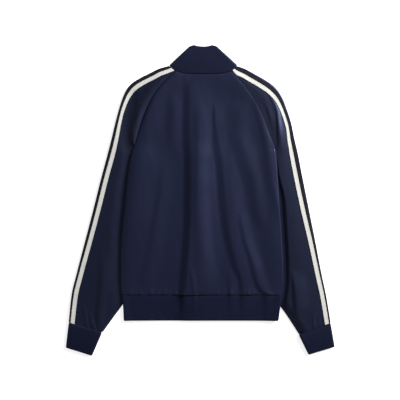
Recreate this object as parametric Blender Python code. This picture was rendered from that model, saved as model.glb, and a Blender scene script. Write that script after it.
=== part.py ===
"""Track jacket with raglan sleeves, a stand collar and a rib hem, laid flat face down.

X runs across the jacket, +Y points to the collar and Z is up.  The fronts and the zip lie
on the surface at z = 0 and the back is on top.  All sizes below are in millimetres.
"""
import math
from collections import namedtuple

import bmesh
import bpy
import numpy as np
from mathutils import Vector

MM = 0.001                # metres in a millimetre
CLOTH = 1.5               # wall of the knitted body and sleeves
RIB = 2.0                 # wall of the collar, hem band and cuffs
TAPE = 1.0                # wall of an applied tape
TAPE_WIDTH = 12.5
SEAM_GAP = 0.3            # space left between two pieces that are sewn together

MIDDLE_HEIGHT = 9.3       # top of the back over the plain middle of the fronts
UNDER_SIDE = 5.9          # bottom of the fronts where they lie over a sleeve
SIDE_INSET = 6.0          # how far the back turns in under the side fold

HEM_SEAM_Y = -250.0
HEM_BOTTOM_Y = -319.0

# ---------------------------------------------------------------- tables

# The outline of the body, a row for each height: its two side folds.
BodyRow = namedtuple("BodyRow", "y left right")
BODY = (
    BodyRow(-325, -203, 207),
    BodyRow(-290, -204, 211),
    BodyRow(-250, -208, 216),
    BodyRow(-211, -211, 220.5),
    BodyRow(-158, -211, 219.5),
    BodyRow(-105, -209, 216.5),
    BodyRow(-52, -204, 213),
    BodyRow(1, -198, 209.5),
    BodyRow(54, -193, 206),
    BodyRow(107, -185, 202),
    BodyRow(146, -176, 199),
)

# Above the armpits: the raglan seams and the valleys where the sleeves turn down.
YokeRow = namedtuple("YokeRow", "y seam_left seam_right valley_left valley_right low_left low_right")
YOKE = (
    YokeRow(100, -176.0, 199.0, -188.4, 205.4, 4.8, 4.5),
    YokeRow(140, -176.0, 199.0, -184, 206, 5.8, 6.6),
    YokeRow(160, -170.5, 193.0, -180, 199.5, 5.5, 7.5),
    YokeRow(189, -162.5, 182.0, -179, 197, 5.2, 8.6),
    YokeRow(217, -153.0, 172.5, -178, 196, 5.2, 9.0),
    YokeRow(245, -141.5, 160.5, -177, 194, 5.6, 9.2),
    YokeRow(274, -127.0, 143.5, -173, 190, 6.6, 9.6),
    YokeRow(299, -109.5, 125.5, -169, 187, 9.0, 10.5),
    YokeRow(319, -91.0, 107.0, -166, 185, 11.0, 12.0),
    YokeRow(343, -67.0, 84.5, -164, 183, 12.0, 12.0),
)

# A row across each sleeve from its inner edge to its outer fold.  black_shows is how much of
# the black tape is seen from above before it goes round the fold.
SleeveRow = namedtuple("SleeveRow", "outer_x outer_y inner_x inner_y fold_z crown_z black_shows")
SLEEVE_LEFT = (
    SleeveRow(-84, 357, -67.0, 343, 8.0, 9.0, 7.0),
    SleeveRow(-107, 351, -91.0, 319, 8.5, 9.5, 7.5),
    SleeveRow(-136, 337, -109.5, 299, 8.5, 9.0, 8.0),
    SleeveRow(-162, 324, -127.0, 274, 8.5, 8.5, 8.0),
    SleeveRow(-184, 309, -141.5, 245, 8.0, 8.0, 8.0),
    SleeveRow(-197, 292, -153.0, 217, 8.0, 7.8, 8.0),
    SleeveRow(-206, 272, -162.5, 189, 8.0, 7.6, 8.0),
    SleeveRow(-215, 245, -169.8, 163, 8.0, 7.6, 7.5),
    SleeveRow(-225, 208, -176.3, 145, 8.0, 7.8, 7.0),
    SleeveRow(-235, 166, -176.0, 119, 8.0, 8.0, 6.5),
    SleeveRow(-246, 123, -152.0, 83, 8.0, 8.0, 6.0),
    SleeveRow(-263, 60, -115.0, 25, 8.0, 8.0, 5.5),
    SleeveRow(-283, -20, -124.0, -57, 8.0, 8.0, 5.5),
    SleeveRow(-305, -105, -141.0, -142, 8.0, 8.0, 5.0),
    SleeveRow(-327, -189, -173.0, -224, 8.5, 8.5, 4.0),
    SleeveRow(-342, -253, -215.0, -285, 9.0, 10.0, 3.5),
    SleeveRow(-349, -322, -261.0, -349, 10.0, 11.0, 3.0),
)
SLEEVE_RIGHT = (
    SleeveRow(100, 358, 84.5, 343, 8.0, 9.0, 12.5),
    SleeveRow(119, 351, 107.0, 319, 9.0, 10.0, 13.0),
    SleeveRow(145, 337, 125.5, 299, 9.0, 10.5, 13.5),
    SleeveRow(170, 323, 143.5, 274, 9.0, 11.5, 14.0),
    SleeveRow(191, 309, 160.5, 245, 9.0, 12.5, 14.5),
    SleeveRow(207, 293, 172.5, 217, 9.0, 12.8, 14.5),
    SleeveRow(219, 273, 182.0, 189, 9.0, 13.0, 14.0),
    SleeveRow(230, 245, 191.5, 163, 9.0, 13.0, 13.0),
    SleeveRow(242, 208, 199.3, 139, 9.0, 13.0, 12.5),
    SleeveRow(251, 166, 197.0, 113, 9.0, 12.8, 12.0),
    SleeveRow(261, 123, 174.0, 78, 9.0, 12.5, 11.5),
    SleeveRow(273, 60, 127.0, 20, 9.0, 12.5, 10.5),
    SleeveRow(288, -20, 115.0, -65, 9.0, 12.5, 8.5),
    SleeveRow(305, -105, 128.0, -150, 9.0, 12.0, 5.5),
    SleeveRow(321, -189, 168.0, -229, 9.0, 12.0, 3.5),
    SleeveRow(335, -256, 219.0, -290, 9.5, 12.0, 3.0),
    SleeveRow(346, -323, 262.0, -355, 10.0, 11.0, 3.0),
)
ARMPIT_ROW = 8            # the row of each sleeve table that ends at the armpit

# Folds of the cloth, a row for each place on a fold's crest.  The cloth climbs by `rise` over
# `steep` on the left of the crest, and falls away over `gentle` on its right.
Fold = namedtuple("Fold", "name x y rise steep gentle")
FOLDS = (
    Fold("body main", -29, 322, 0.0, 20, 60),
    Fold("body main", -28.5, 266, 3.0, 22, 80),
    Fold("body main", -28, 160, 5.0, 22, 95),
    Fold("body main", -28, 107, 7.0, 18, 98),
    Fold("body main", -28, -25, 8.6, 17, 96),
    Fold("body main", -31, -110, 8.6, 18, 96),
    Fold("body main", -37, -176, 8.4, 18, 90),
    Fold("body main", -45, -235, 7.0, 14, 78),
    Fold("body main", -47, -250, 6.4, 12, 70),
    Fold("body second", 42, 262, 0.0, 8, 40),
    Fold("body second", 42, 232, 1.6, 8, 45),
    Fold("body second", 47, 170, 3.2, 14, 50),
    Fold("body second", 55, 136, 4.2, 20, 55),
    Fold("body second", 63, 94, 4.6, 20, 60),
    Fold("body second", 70, 25, 5.0, 28, 60),
    Fold("body second", 78, -62, 5.0, 24, 55),
    Fold("body second", 89, -122, 5.0, 22, 50),
    Fold("body second", 98, -170, 5.0, 20, 45),
    Fold("body second", 112, -211, 4.2, 16, 35),
    Fold("body second", 118, -250, 3.0, 12, 28),
    Fold("body third", 108, -30, 0.0, 14, 40),
    Fold("body third", 113, -62, 1.2, 14, 45),
    Fold("body third", 124, -107, 2.2, 14, 45),
    Fold("body third", 134, -144, 3.6, 14, 42),
    Fold("body third", 143, -179, 5.2, 15, 40),
    Fold("body third", 154, -219, 5.4, 14, 36),
    Fold("body third", 166, -240, 3.6, 12, 30),
    Fold("body third", 184, -250, 1.5, 10, 26),
    Fold("body fourth", 74, 278, 0.0, 12, 30),
    Fold("body fourth", 94, 218, 1.3, 13, 34),
    Fold("body fourth", 112, 155, 1.5, 15, 34),
    Fold("body fourth", 140, 40, 1.8, 16, 36),
    Fold("body fourth", 153, 5, 1.8, 16, 34),
    Fold("body fourth", 163, -50, 0.0, 14, 30),
    Fold("body flank", -96, 110, 0.0, 18, 40),
    Fold("body flank", -101, 20, 1.8, 20, 40),
    Fold("body flank", -112, -41, 2.0, 18, 40),
    Fold("body flank", -128, -144, 1.8, 24, 36),
    Fold("body flank", -141, -197, 1.4, 22, 30),
    Fold("body flank", -150, -240, 0.0, 16, 24),
    Fold("left elbow", -257, -131, 0.0, 16, 26),
    Fold("left elbow", -259, -221, 2.5, 16, 24),
    Fold("left elbow", -265, -277, 3.0, 15, 22),
    Fold("left elbow", -268, -309, 3.0, 14, 22),
    Fold("left elbow", -263, -348, 2.0, 12, 20),
    Fold("right elbow", 246, -184, 0.0, 10, 40),
    Fold("right elbow", 251, -237, 4.0, 10, 40),
    Fold("right elbow", 254, -277, 4.0, 10, 38),
    Fold("right elbow", 256, -309, 2.0, 10, 30),
    Fold("right elbow", 262, -334, 0.0, 10, 26),
)

# The collar band from its left end round the back of the neck to its right end.
CollarStation = namedtuple("CollarStation", "seam_x seam_y edge_x edge_y level")
COLLAR = (
    CollarStation(-52.0, 240, 0.5, 294, 0.0),
    CollarStation(-62.0, 288, -6.0, 341, 0.0),
    CollarStation(-71.0, 335, -16.0, 386, 0.0),
    CollarStation(-78.5, 355, -25.0, 406.5, 0.0),
    CollarStation(-82.5, 359, -28.5, 410, 0.5),
    CollarStation(-78.5, 355, -22.5, 411, 1.0),
    CollarStation(-66.5, 343.5, -15.0, 412, 1.0),
    CollarStation(-32.0, 335.0, -9.0, 410, 1.0),
    CollarStation(13.0, 334.5, 8.0, 408.5, 1.0),
    CollarStation(58.0, 335.5, 25.0, 410, 1.0),
    CollarStation(84.0, 343.5, 30.0, 412, 1.0),
    CollarStation(95.0, 355, 37.5, 411, 1.0),
    CollarStation(99.0, 359, 43.5, 410, 0.5),
    CollarStation(95.0, 355, 40.0, 406.5, 0.0),
    CollarStation(88.5, 335, 33.0, 386, 0.0),
    CollarStation(79.5, 288, 23.5, 341, 0.0),
    CollarStation(69.5, 240, 17.0, 294, 0.0),
)
COLLAR_HEIGHT = 9.0       # top of the folded collar above the surface

# The cuffs, from the sleeve seam to the open end: outer and inner edges of each tube.
CuffEnd = namedtuple("CuffEnd", "outer_x outer_y inner_x inner_y height")
CUFF_LEFT = (
    CuffEnd(-349.2, -324.5, -260.6, -351.5, 10.5),
    CuffEnd(-357, -390, -287, -412, 9.0),
)
CUFF_RIGHT = (
    CuffEnd(346.3, -325.5, 261.6, -357.5, 10.5),
    CuffEnd(357, -388, 287, -409, 9.0),
)

# The zip is closed from the hem to the slider, and open in a V above it.
ZIP_BOTTOM = (2.0, HEM_BOTTOM_Y)
ZIP_CLOSED_TOP = (11.0, 92.0)
ZIP_LEFT_CORNER = (-47.0, 239.0)
ZIP_RIGHT_CORNER = (64.5, 239.0)
ZIP_STRIP = 5.0           # width of one half of the zip, tape edge to teeth
ZIP_WALL = 1.6
ZIP_LIFT = 5.0            # the cloth stands this high round the slider and pull tab
BACK_BUMP = 1.0           # and lifts the back over it by this much
ZIP_LIFT_LENGTH = 52.0
ZIP_LIFT_WIDTH = 30.0

DENSE = 360               # points along a section before it is spaced out again


# ---------------------------------------------------------------- small tools

def ease(t):
    """Rise smoothly from 0 to 1 as t goes from 0 to 1."""
    t = np.clip(t, 0.0, 1.0)
    return t * t * (3.0 - 2.0 * t)


def smooth(places, values, at):
    """A smooth curve through values at rising places, with no overshoot."""
    places = np.asarray(places, float)
    values = np.asarray(values, float)
    steps = np.diff(places)
    slopes = np.diff(values) / steps
    product = slopes[:-1] * slopes[1:]
    tangents = np.zeros(len(values))
    total = slopes[:-1] + slopes[1:]
    inner = np.where(product > 0, 2.0 * product / np.where(total == 0, 1.0, total), 0.0)
    tangents[1:-1] = inner
    tangents[0] = slopes[0]
    tangents[-1] = slopes[-1]
    at = np.clip(at, places[0], places[-1])
    k = np.clip(np.searchsorted(places, at) - 1, 0, len(steps) - 1)
    t = (at - places[k]) / steps[k]
    h = steps[k]
    return (values[k] * (1 + 2 * t) * (1 - t) ** 2 + tangents[k] * h * t * (1 - t) ** 2
            + values[k + 1] * t * t * (3 - 2 * t) - tangents[k + 1] * h * t * t * (1 - t))


def column(table, name, at):
    """Read a column of a table with rising y at any y."""
    return smooth([row.y for row in table], [getattr(row, name) for row in table], at)


def row_column(table, name, at):
    """Read a column of a table by its row number, which may lie between two rows."""
    return smooth(np.arange(len(table)), [getattr(row, name) for row in table], at)


def run_length(points):
    """How far along its line each point lies."""
    steps = np.linalg.norm(np.diff(points, axis=0), axis=1)
    return np.concatenate([[0.0], np.cumsum(steps)])


# ---------------------------------------------------------------- the form of the cloth

# The two sides: the top of the back over the sleeve, the run over which it climbs to it and its
# rise at the yoke; how much further out the sleeve dips lowest below the armpit than beside it, the
# widths of the dip's two flanks and the run over which the sleeve comes out of it.
Side = namedtuple("Side", "name sign sleeve height ramp yoke dip flank_in flank_out blend")
LEFT = Side("left", -1.0, SLEEVE_LEFT, 16.5, 110.0, 3.5, 1.5, 12.0, 12.0, 28.0)
RIGHT = Side("right", 1.0, SLEEVE_RIGHT, 12.5, 70.0, 2.0, 5.5, 18.0, 10.0, 45.0)
SHOULDER_Y = 320.0        # height on the back where the left side begins to fall away
NECK_FALL = 1.5           # how far the back falls towards the left seam beside the neck
SIDE_FALL = 4.0           # and towards the left side fold
SEAM_FALL_RUN = 14.0      # width of that fall along the raglan seam
SIDE_FALL_RUN = 36.0      # and along the side fold
LAID_CLEAR = 16.0         # the fronts are fully lifted this far before a tucked sleeve begins
LIFT_RUN = 30.0           # run over which they climb
ARMPIT_LIFT = 1.5         # height of the underside where the armpit seams meet
RAGLAN_SHIFT = 0.22       # half the gap of the slanting raglan seams, along X


def armpit_y(side):
    return float(side.sleeve[ARMPIT_ROW].inner_y)


def body_edge(side, y):
    """The side fold of the body."""
    return column(BODY, side.name, y)


def tucked_edge(side, y):
    """The inner fold of the sleeve, which lies under the body."""
    rows = side.sleeve[ARMPIT_ROW:][::-1]
    return smooth([row.inner_y for row in rows], [row.inner_x for row in rows], y)


def fold_rows(name):
    """The rows of one fold, from its low end up."""
    return sorted((row for row in FOLDS if row.name == name), key=lambda row: row.y)


def fold_height(panel, x, y):
    """Height of all the folds of a panel at a point."""
    x, y = np.broadcast_arrays(np.asarray(x, float), np.asarray(y, float))
    total = np.zeros(x.shape)
    for name in sorted({row.name for row in FOLDS if row.name.startswith(panel)}):
        rows = fold_rows(name)
        across = x - column(rows, "x", y)
        rising = ease(1.0 + across / column(rows, "steep", y))
        falling = ease(1.0 - across / column(rows, "gentle", y))
        total = total + column(rows, "rise", y) * np.where(across < 0, rising, falling)
    return total


def underside(x, y):
    """Height of the outer face of the lower layer: flat, but lifted over tucked sleeves."""
    height = np.zeros(np.broadcast(x, y).shape)
    for side in (LEFT, RIGHT):
        outward = side.sign * (x - tucked_edge(side, y))
        across = ease((outward + LAID_CLEAR + LIFT_RUN) / LIFT_RUN)
        above = y - armpit_y(side)
        lift = np.where(above > 0, ARMPIT_LIFT * ease(1.0 - above / 35.0),
                        ARMPIT_LIFT + (UNDER_SIDE - ARMPIT_LIFT) * ease(-above / 20.0))
        height = height + lift * across
    return height + ZIP_LIFT * slider_bump(x, y)


def slider_bump(x, y):
    """The swelling, from 0 to 1, that the slider and its pull tab push up in the cloth."""
    across = ease(1.6 - np.abs(x - zip_middle(y)) / ZIP_LIFT_WIDTH)
    return across * ease(1.6 - np.abs(y - ZIP_CLOSED_TOP[1] + 10.0) / ZIP_LIFT_LENGTH)


def zip_middle(y):
    """The line along which the closed zip meets."""
    slope = (ZIP_CLOSED_TOP[0] - ZIP_BOTTOM[0]) / (ZIP_CLOSED_TOP[1] - ZIP_BOTTOM[1])
    return ZIP_BOTTOM[0] + slope * (y - ZIP_BOTTOM[1])


def shoulder_drop(x, y):
    """How far the cloth falls towards the left side fold and the left raglan seam."""
    edge = np.where(y < armpit_y(LEFT), body_edge(LEFT, y), column(YOKE, "seam_left", y))
    fall = NECK_FALL + (SIDE_FALL - NECK_FALL) * ease((SHOULDER_Y - y) / 120.0)
    run = SEAM_FALL_RUN + (SIDE_FALL_RUN - SEAM_FALL_RUN) * ease((SHOULDER_Y - 90.0 - y) / 90.0)
    fade = ease((y - HEM_BOTTOM_Y + 20.0) / 160.0) * ease((SHOULDER_Y + 23.0 - y) / 30.0)
    return fall * fade * np.clip(1.0 - (x - edge) / run, 0.0, 1.0) ** 2


def plateau(x, y):
    """Height of the upper layer before the armpit valleys are pressed into it."""
    height = MIDDLE_HEIGHT + 1.5 * ease((y - 270.0) / 60.0) + BACK_BUMP * slider_bump(x, y)
    for side in (LEFT, RIGHT):
        outward = side.sign * (x - column(BODY, side.name, y))
        over_sleeve = (side.height - MIDDLE_HEIGHT) * ease((outward + side.ramp + 10.0) / side.ramp)
        inside = side.sign * (column(YOKE, "seam_" + side.name, y) - x)
        yoke_rise = side.yoke * ease(1.0 - inside / 70.0) * ease((360.0 - y) / 90.0)
        high = ease((y - armpit_y(side) + 60.0) / 80.0)
        height = height + over_sleeve * (1.0 - high) + yoke_rise * high
    height = height - shoulder_drop(x, y)
    return height + fold_height("body", x, y)


def valley_line(side, y):
    """Where the sleeve dips beside the body, and the height of the bottom of the dip."""
    dip = 1.5 + side.dip * ease((armpit_y(side) - y) / 100.0)
    low_x = body_edge(side, y) + side.sign * dip
    high_x = column(YOKE, "valley_" + side.name, y)
    middle = np.where(y < YOKE[0].y, low_x, high_x)
    return middle, column(YOKE, "low_" + side.name, y)


def press_valley(side, height, x, y, presence, flat_inside):
    """Press the armpit valley into a height."""
    middle, bottom = valley_line(side, y)
    outward = side.sign * (x - middle)
    inside = np.where(flat_inside, 1.0, ease(1.0 + outward / side.flank_in))
    weight = np.where(outward < 0, inside, ease(1.0 - outward / side.flank_out)) * presence
    return height - np.maximum(height - bottom, 0.0) * weight


def top_height(x, y):
    """Height of the outer face of the back."""
    height = plateau(x, y)
    for side in (LEFT, RIGHT):
        presence = ease((y - armpit_y(side) + 12.0) / 12.0)
        height = press_valley(side, height, x, y, presence, False)
    return height


def side_roll(side, y):
    """The round of the side fold: its centre, its bottom, its radius and the seam's angle."""
    edge = float(body_edge(side, y))
    seat = np.array(edge - side.sign * 5.0)
    low = float(underside(seat, np.array(y)))
    radius = 0.5 * (float(top_height(seat, np.array(y))) - low)
    turn = math.pi * (0.62 + 0.38 * float(ease((armpit_y(side) - y) / 26.0)))
    return edge - side.sign * radius, low, radius, turn


def side_inset(side, y):
    """How far the side seam lies in from the round of the side fold."""
    return SIDE_INSET * float(ease((armpit_y(side) - y - 20.0) / 30.0))


def body_side(side, y):
    """The rolled side of the body at one height: from the side seam to the top of the back."""
    centre, low, radius, turn = side_roll(side, y)
    inset = side_inset(side, y)
    points = []
    for step in np.linspace(0.0, 1.0, 6)[:-1]:
        x = centre - side.sign * inset * (1.0 - step)
        points.append((x, y, float(underside(np.array(x), np.array(y)))))
    for angle in np.linspace(turn, 0.0, 24):
        points.append((centre + side.sign * radius * math.sin(angle), y,
                       low + radius + radius * math.cos(angle)))
    return points if inset > 0.3 else points[5:]


def under_side_seam(side, y):
    """The side of a front at one height, from its side seam to where it lies flat."""
    centre, low, radius, turn = side_roll(side, y)
    inset = side_inset(side, y)
    if inset > 0.3:
        x = centre - side.sign * (inset + SEAM_GAP)
        return [(x, y, float(underside(np.array(x), np.array(y))))]
    start = min(turn + 1.3 * SEAM_GAP / radius, math.pi)
    return [(centre + side.sign * radius * math.sin(angle), y,
             low + radius + radius * math.cos(angle))
            for angle in np.linspace(start, math.pi, 12)]


# ---------------------------------------------------------------- walls from sections

def section_normals(points, along):
    """Normals of a section, square to it and to the way the cloth runs on from it."""
    tangent = np.gradient(points, axis=0)
    normal = np.cross(tangent, np.broadcast_to(along, points.shape))
    return normal / np.maximum(np.linalg.norm(normal, axis=1, keepdims=True), 1e-9)


def square_off(normals):
    """Turn the normals at the sewn sides so that the rims of two pieces are parallel."""
    for col in (0, -1):
        steep = np.abs(normals[:, col, 2]) < 0.4
        upright = np.where(normals[:, col, 2] < 0, -1.0, 1.0)
        level = normals[:, col] * (1.0, 1.0, 0.0)
        vertical = np.stack([0 * upright, 0 * upright, upright], axis=1)
        normals[:, col] = np.where(steep[:, None], level, vertical)
    return normals / np.linalg.norm(normals, axis=2, keepdims=True)


def material(name, colour, roughness, metallic=0.0):
    """A plain Principled material."""
    made = bpy.data.materials.new(name)
    made.use_nodes = True
    shader = made.node_tree.nodes["Principled BSDF"]
    shader.inputs["Base Color"].default_value = (*colour, 1.0)
    shader.inputs["Roughness"].default_value = roughness
    shader.inputs["Metallic"].default_value = metallic
    return made


def wall(name, outer, inner, closed=False):
    """A closed wall between two grids of points; closed joins its last column to its first."""
    rows, cols = outer.shape[:2]
    mesh = bpy.data.meshes.new(name)
    built = bmesh.new()
    face_verts = [[[built.verts.new(Vector(point) * MM) for point in row] for row in skin]
                  for skin in (outer, inner)]
    spans = cols if closed else cols - 1
    for row in range(rows - 1):
        for col in range(spans):
            nxt = (col + 1) % cols
            top = face_verts[0]
            low = face_verts[1]
            built.faces.new((top[row][col], top[row][nxt], top[row + 1][nxt], top[row + 1][col]))
            built.faces.new((low[row][col], low[row + 1][col], low[row + 1][nxt], low[row][nxt]))
    rim = [(row, col) for row in (0, rows - 1) for col in range(spans)]
    for row, col in rim:
        nxt = (col + 1) % cols
        built.faces.new((face_verts[0][row][col], face_verts[1][row][col],
                         face_verts[1][row][nxt], face_verts[0][row][nxt]))
    if not closed:
        for col in (0, cols - 1):
            for row in range(rows - 1):
                built.faces.new((face_verts[0][row][col], face_verts[1][row][col],
                                 face_verts[1][row + 1][col], face_verts[0][row + 1][col]))
    bmesh.ops.recalc_face_normals(built, faces=built.faces[:])
    built.to_mesh(mesh)
    built.free()
    return add_object(name, mesh)


def add_object(name, data):
    made = bpy.data.objects.new(name, data)
    JACKET.objects.link(made)
    made.data.materials.append(PAINTS[name])
    return made


def cloth(name, sections, thickness, closed=False):
    """A panel of cloth: its outer points, and the same points moved in by its thickness."""
    outer = sections[..., :3]
    normals = sections[..., 3:] if closed else square_off(sections[..., 3:].copy())
    return wall(name, outer, outer - thickness * normals, closed)


def bend_weight(points, strength=25.0):
    """Where a section bends sharply, so that more points are kept there."""
    steps = np.diff(points, axis=0)
    length = np.maximum(np.linalg.norm(steps, axis=1), 1e-6)
    unit = steps / length[:, None]
    turn = np.linalg.norm(np.diff(unit, axis=0), axis=1) / (0.5 * (length[1:] + length[:-1]))
    turn = np.concatenate([[turn[0]], turn, [turn[-1]]])
    spread = np.ones(9) / 9.0
    turn = np.convolve(np.minimum(turn, 0.4), spread, mode="same")
    return 1.0 + strength * turn


def pieces_of(points, marks, counts, along=(0.0, 1.0, 0.0)):
    """Space a section out again, with a set number of spans between marks along its run.

    Each point comes back with its normal.
    """
    normals = section_normals(points, along)
    both = np.concatenate([points, normals], axis=1)
    run = run_length(points)
    weight = bend_weight(points)
    steps = np.diff(run) * 0.5 * (weight[:-1] + weight[1:])
    heavy = np.concatenate([[0.0], np.cumsum(steps)])
    marks = [0.0, *marks, run[-1]]
    wanted = []
    for low, high, count in zip(marks[:-1], marks[1:], counts):
        low_heavy, high_heavy = np.interp((low, high), run, heavy)
        wanted.extend(np.linspace(low_heavy, high_heavy, count + 1)[:-1])
    wanted.append(heavy[-1])
    spaced = np.stack([np.interp(wanted, heavy, both[:, k]) for k in range(6)], axis=1)
    spaced[:, 3:] /= np.linalg.norm(spaced[:, 3:], axis=1, keepdims=True)
    return spaced


# ---------------------------------------------------------------- the panels

BACK_SPANS = (5, 13, 3, 17, 5)   # side, left half, up the main fold, right half, side
SIDE_RUN = 10.0
NECK_SAG = 9.0            # the back neck seam dips this far below the tops of the raglans
SEAM_ROWS = (139.0, 145.0, 157.0, 172.0, 189.0, 206.0, 223.0, 240.0, 257.0, 274.0, 290.0,
             305.0, 319.0, 331.0, 343.0)


def body_rows():
    """Heights of the rows of the back and fronts, from the hem seam to the neck."""
    low = np.linspace(HEM_SEAM_Y + SEAM_GAP, 100.0, 16)
    return np.concatenate([low, (113.0, 126.0, 133.0), SEAM_ROWS])


def raglan_x(side, y):
    return float(column(YOKE, "seam_" + side.name, y)) - side.sign * RAGLAN_SHIFT


def back_section(y):
    """A section of the back at one height, from its left edge over to its right edge."""
    ends = []
    for side in (LEFT, RIGHT):
        if y < armpit_y(side):
            rolled = body_side(side, y)
            run = run_length(np.array(rolled))[-1]
            ends.append((rolled, rolled[-1][0], run))
        else:
            ends.append(([], raglan_x(side, y), SIDE_RUN))
    x = np.linspace(ends[0][1], ends[1][1], DENSE)
    middle = 0.5 * (x[0] + x[-1])
    u = (x - middle) / (0.5 * (x[-1] - x[0]))
    sag = NECK_SAG * float(ease((y - 285.0) / 58.0))
    ys = y - sag * (1.0 - u ** 4)
    top = np.stack([x, ys, top_height(x, ys)], axis=1)
    left = np.array(ends[0][0][:-1]).reshape(-1, 3)
    right = np.array(ends[1][0][:-1]).reshape(-1, 3)[::-1]
    points = np.concatenate([left, top, right])
    run = run_length(points)
    main = fold_rows("body main")
    crest, steep = float(column(main, "x", y)), float(column(main, "steep", y))
    foot_run, crest_run = np.interp((crest - steep, crest), x, run[len(left):len(left) + len(x)])
    marks = (ends[0][2], foot_run, crest_run, run[-1] - ends[1][2])
    return pieces_of(points, marks, BACK_SPANS)


def build_back():
    cloth("back", np.stack([back_section(y) for y in body_rows()]), CLOTH)


def zip_edge(side, y):
    """The free edge of one half of the zip."""
    corner = ZIP_LEFT_CORNER if side is LEFT else ZIP_RIGHT_CORNER
    closed = zip_middle(y) + side.sign * 0.5 * SEAM_GAP
    share = np.clip((y - ZIP_CLOSED_TOP[1]) / (corner[1] - ZIP_CLOSED_TOP[1]), 0.0, 1.0)
    top = ZIP_CLOSED_TOP[0] + side.sign * 0.5 * SEAM_GAP
    opened = top + share * (corner[0] - top)
    return np.where(y < ZIP_CLOSED_TOP[1], closed, opened)


def collar_line(share, points=800):
    """The collar band from end to end, at a share of its height above the neck seam."""
    count = np.arange(len(COLLAR))
    fine = np.linspace(0, len(COLLAR) - 1, points)
    line = []
    for axis in ("x", "y"):
        values = [getattr(s, "seam_" + axis) * (1 - share)
                  + getattr(s, "edge_" + axis) * share for s in COLLAR]
        line.append(smooth(count, values, fine))
    level = smooth(count, [s.level for s in COLLAR], fine)
    return line[0], line[1], level


def neckline(side, y):
    """The front neck seam, on the side of the front."""
    x, seam_y, level = collar_line(0.0)
    half = slice(0, 150) if side is LEFT else slice(-1, -150, -1)
    return np.interp(y, seam_y[half], x[half]) + side.sign * SEAM_GAP * 1.3


def neck_seam_y(x):
    """The neck seam of the back and of the tops of the sleeves."""
    left, right = YOKE[-1].seam_left, YOKE[-1].seam_right
    u = (x - 0.5 * (left + right)) / (0.5 * (right - left))
    back = YOKE[-1].y - NECK_SAG * (1.0 - u ** 4)
    tops = [(s.sleeve[0].outer_x, s.sleeve[0].outer_y) for s in (LEFT, RIGHT)]
    sleeve = np.interp(x, (tops[0][0], left, right, tops[1][0]),
                       (tops[0][1], YOKE[-1].y, YOKE[-1].y, tops[1][1]))
    return np.where(np.abs(u) < 1.0, back, sleeve)


def front_raglan(side, y):
    """The front raglan seam: that of the back, but wider at the neck."""
    return raglan_x(side, y) + side.sign * 8.0 * float(ease((y - 300.0) / 43.0))


FRONT_COLUMNS = 8
FRONT_TOP_Y = 340.0
STRIP_ACROSS = 5.2


def front_rows():
    rows = [y for y in body_rows() if y < FRONT_TOP_Y - 5.0]
    rows += [ZIP_CLOSED_TOP[1], 239.0, FRONT_TOP_Y]
    return np.array(sorted(set(rows) - {240.0}))


def build_front(side):
    sections = []
    for y in front_rows():
        if y < armpit_y(side):
            rolled = under_side_seam(side, y)
        else:
            x = front_raglan(side, y)
            rolled = [(x, y, float(underside(np.array(x), np.array(y))))]
        if y <= 239.0:
            inside = float(zip_edge(side, y)) + side.sign * (STRIP_ACROSS + SEAM_GAP)
        else:
            inside = float(neckline(side, y))
        x = rolled[-1][0] + (inside - rolled[-1][0]) * np.linspace(0.0, 1.0, 120)[1:]
        ys = np.full_like(x, y)
        points = np.concatenate([rolled, np.stack([x, ys, underside(x, ys)], axis=1)])
        mark = min(14.0, 0.4 * abs(inside - x[0]))
        sections.append(pieces_of(points, (mark,), (2, FRONT_COLUMNS - 3),
                                  (0.0, side.sign, 0.0)))
    cloth("front_" + side.name, np.array(sections), CLOTH)


TAPE_STACK = SEAM_GAP + TAPE
TUCK_DEPTH = 8.0                 # how far the sleeve soon goes in under the side of the body
FALL_RUN = 55.0                  # run over which the sleeve falls to its outer fold
SLEEVE_SPANS = (4, 4, 1, 3, 5)   # inside the dip, outside it, white tape, black tape, beneath


def sleeve_stops(side):
    """Row numbers, between the table's rows, of the sections that are built."""
    table = side.sleeve
    ys = [y for y in SEAM_ROWS if y >= armpit_y(side)][::-1]
    numbers = np.linspace(0, ARMPIT_ROW, 400)
    seam = row_column(table, "inner_y", numbers)
    raglan = [float(np.interp(-y, -seam, numbers)) for y in ys]
    raglan[0] = 0.0
    raglan[-1] = float(ARMPIT_ROW)
    below = [8.12, 8.3, 8.55, 8.8, 9.1, 9.5, 10.0, 10.5, 11.0, 11.6, 12.2, 12.8, 13.4, 14.0,
             14.5, 15.0, 15.5, 16.0]
    return raglan + below


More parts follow.
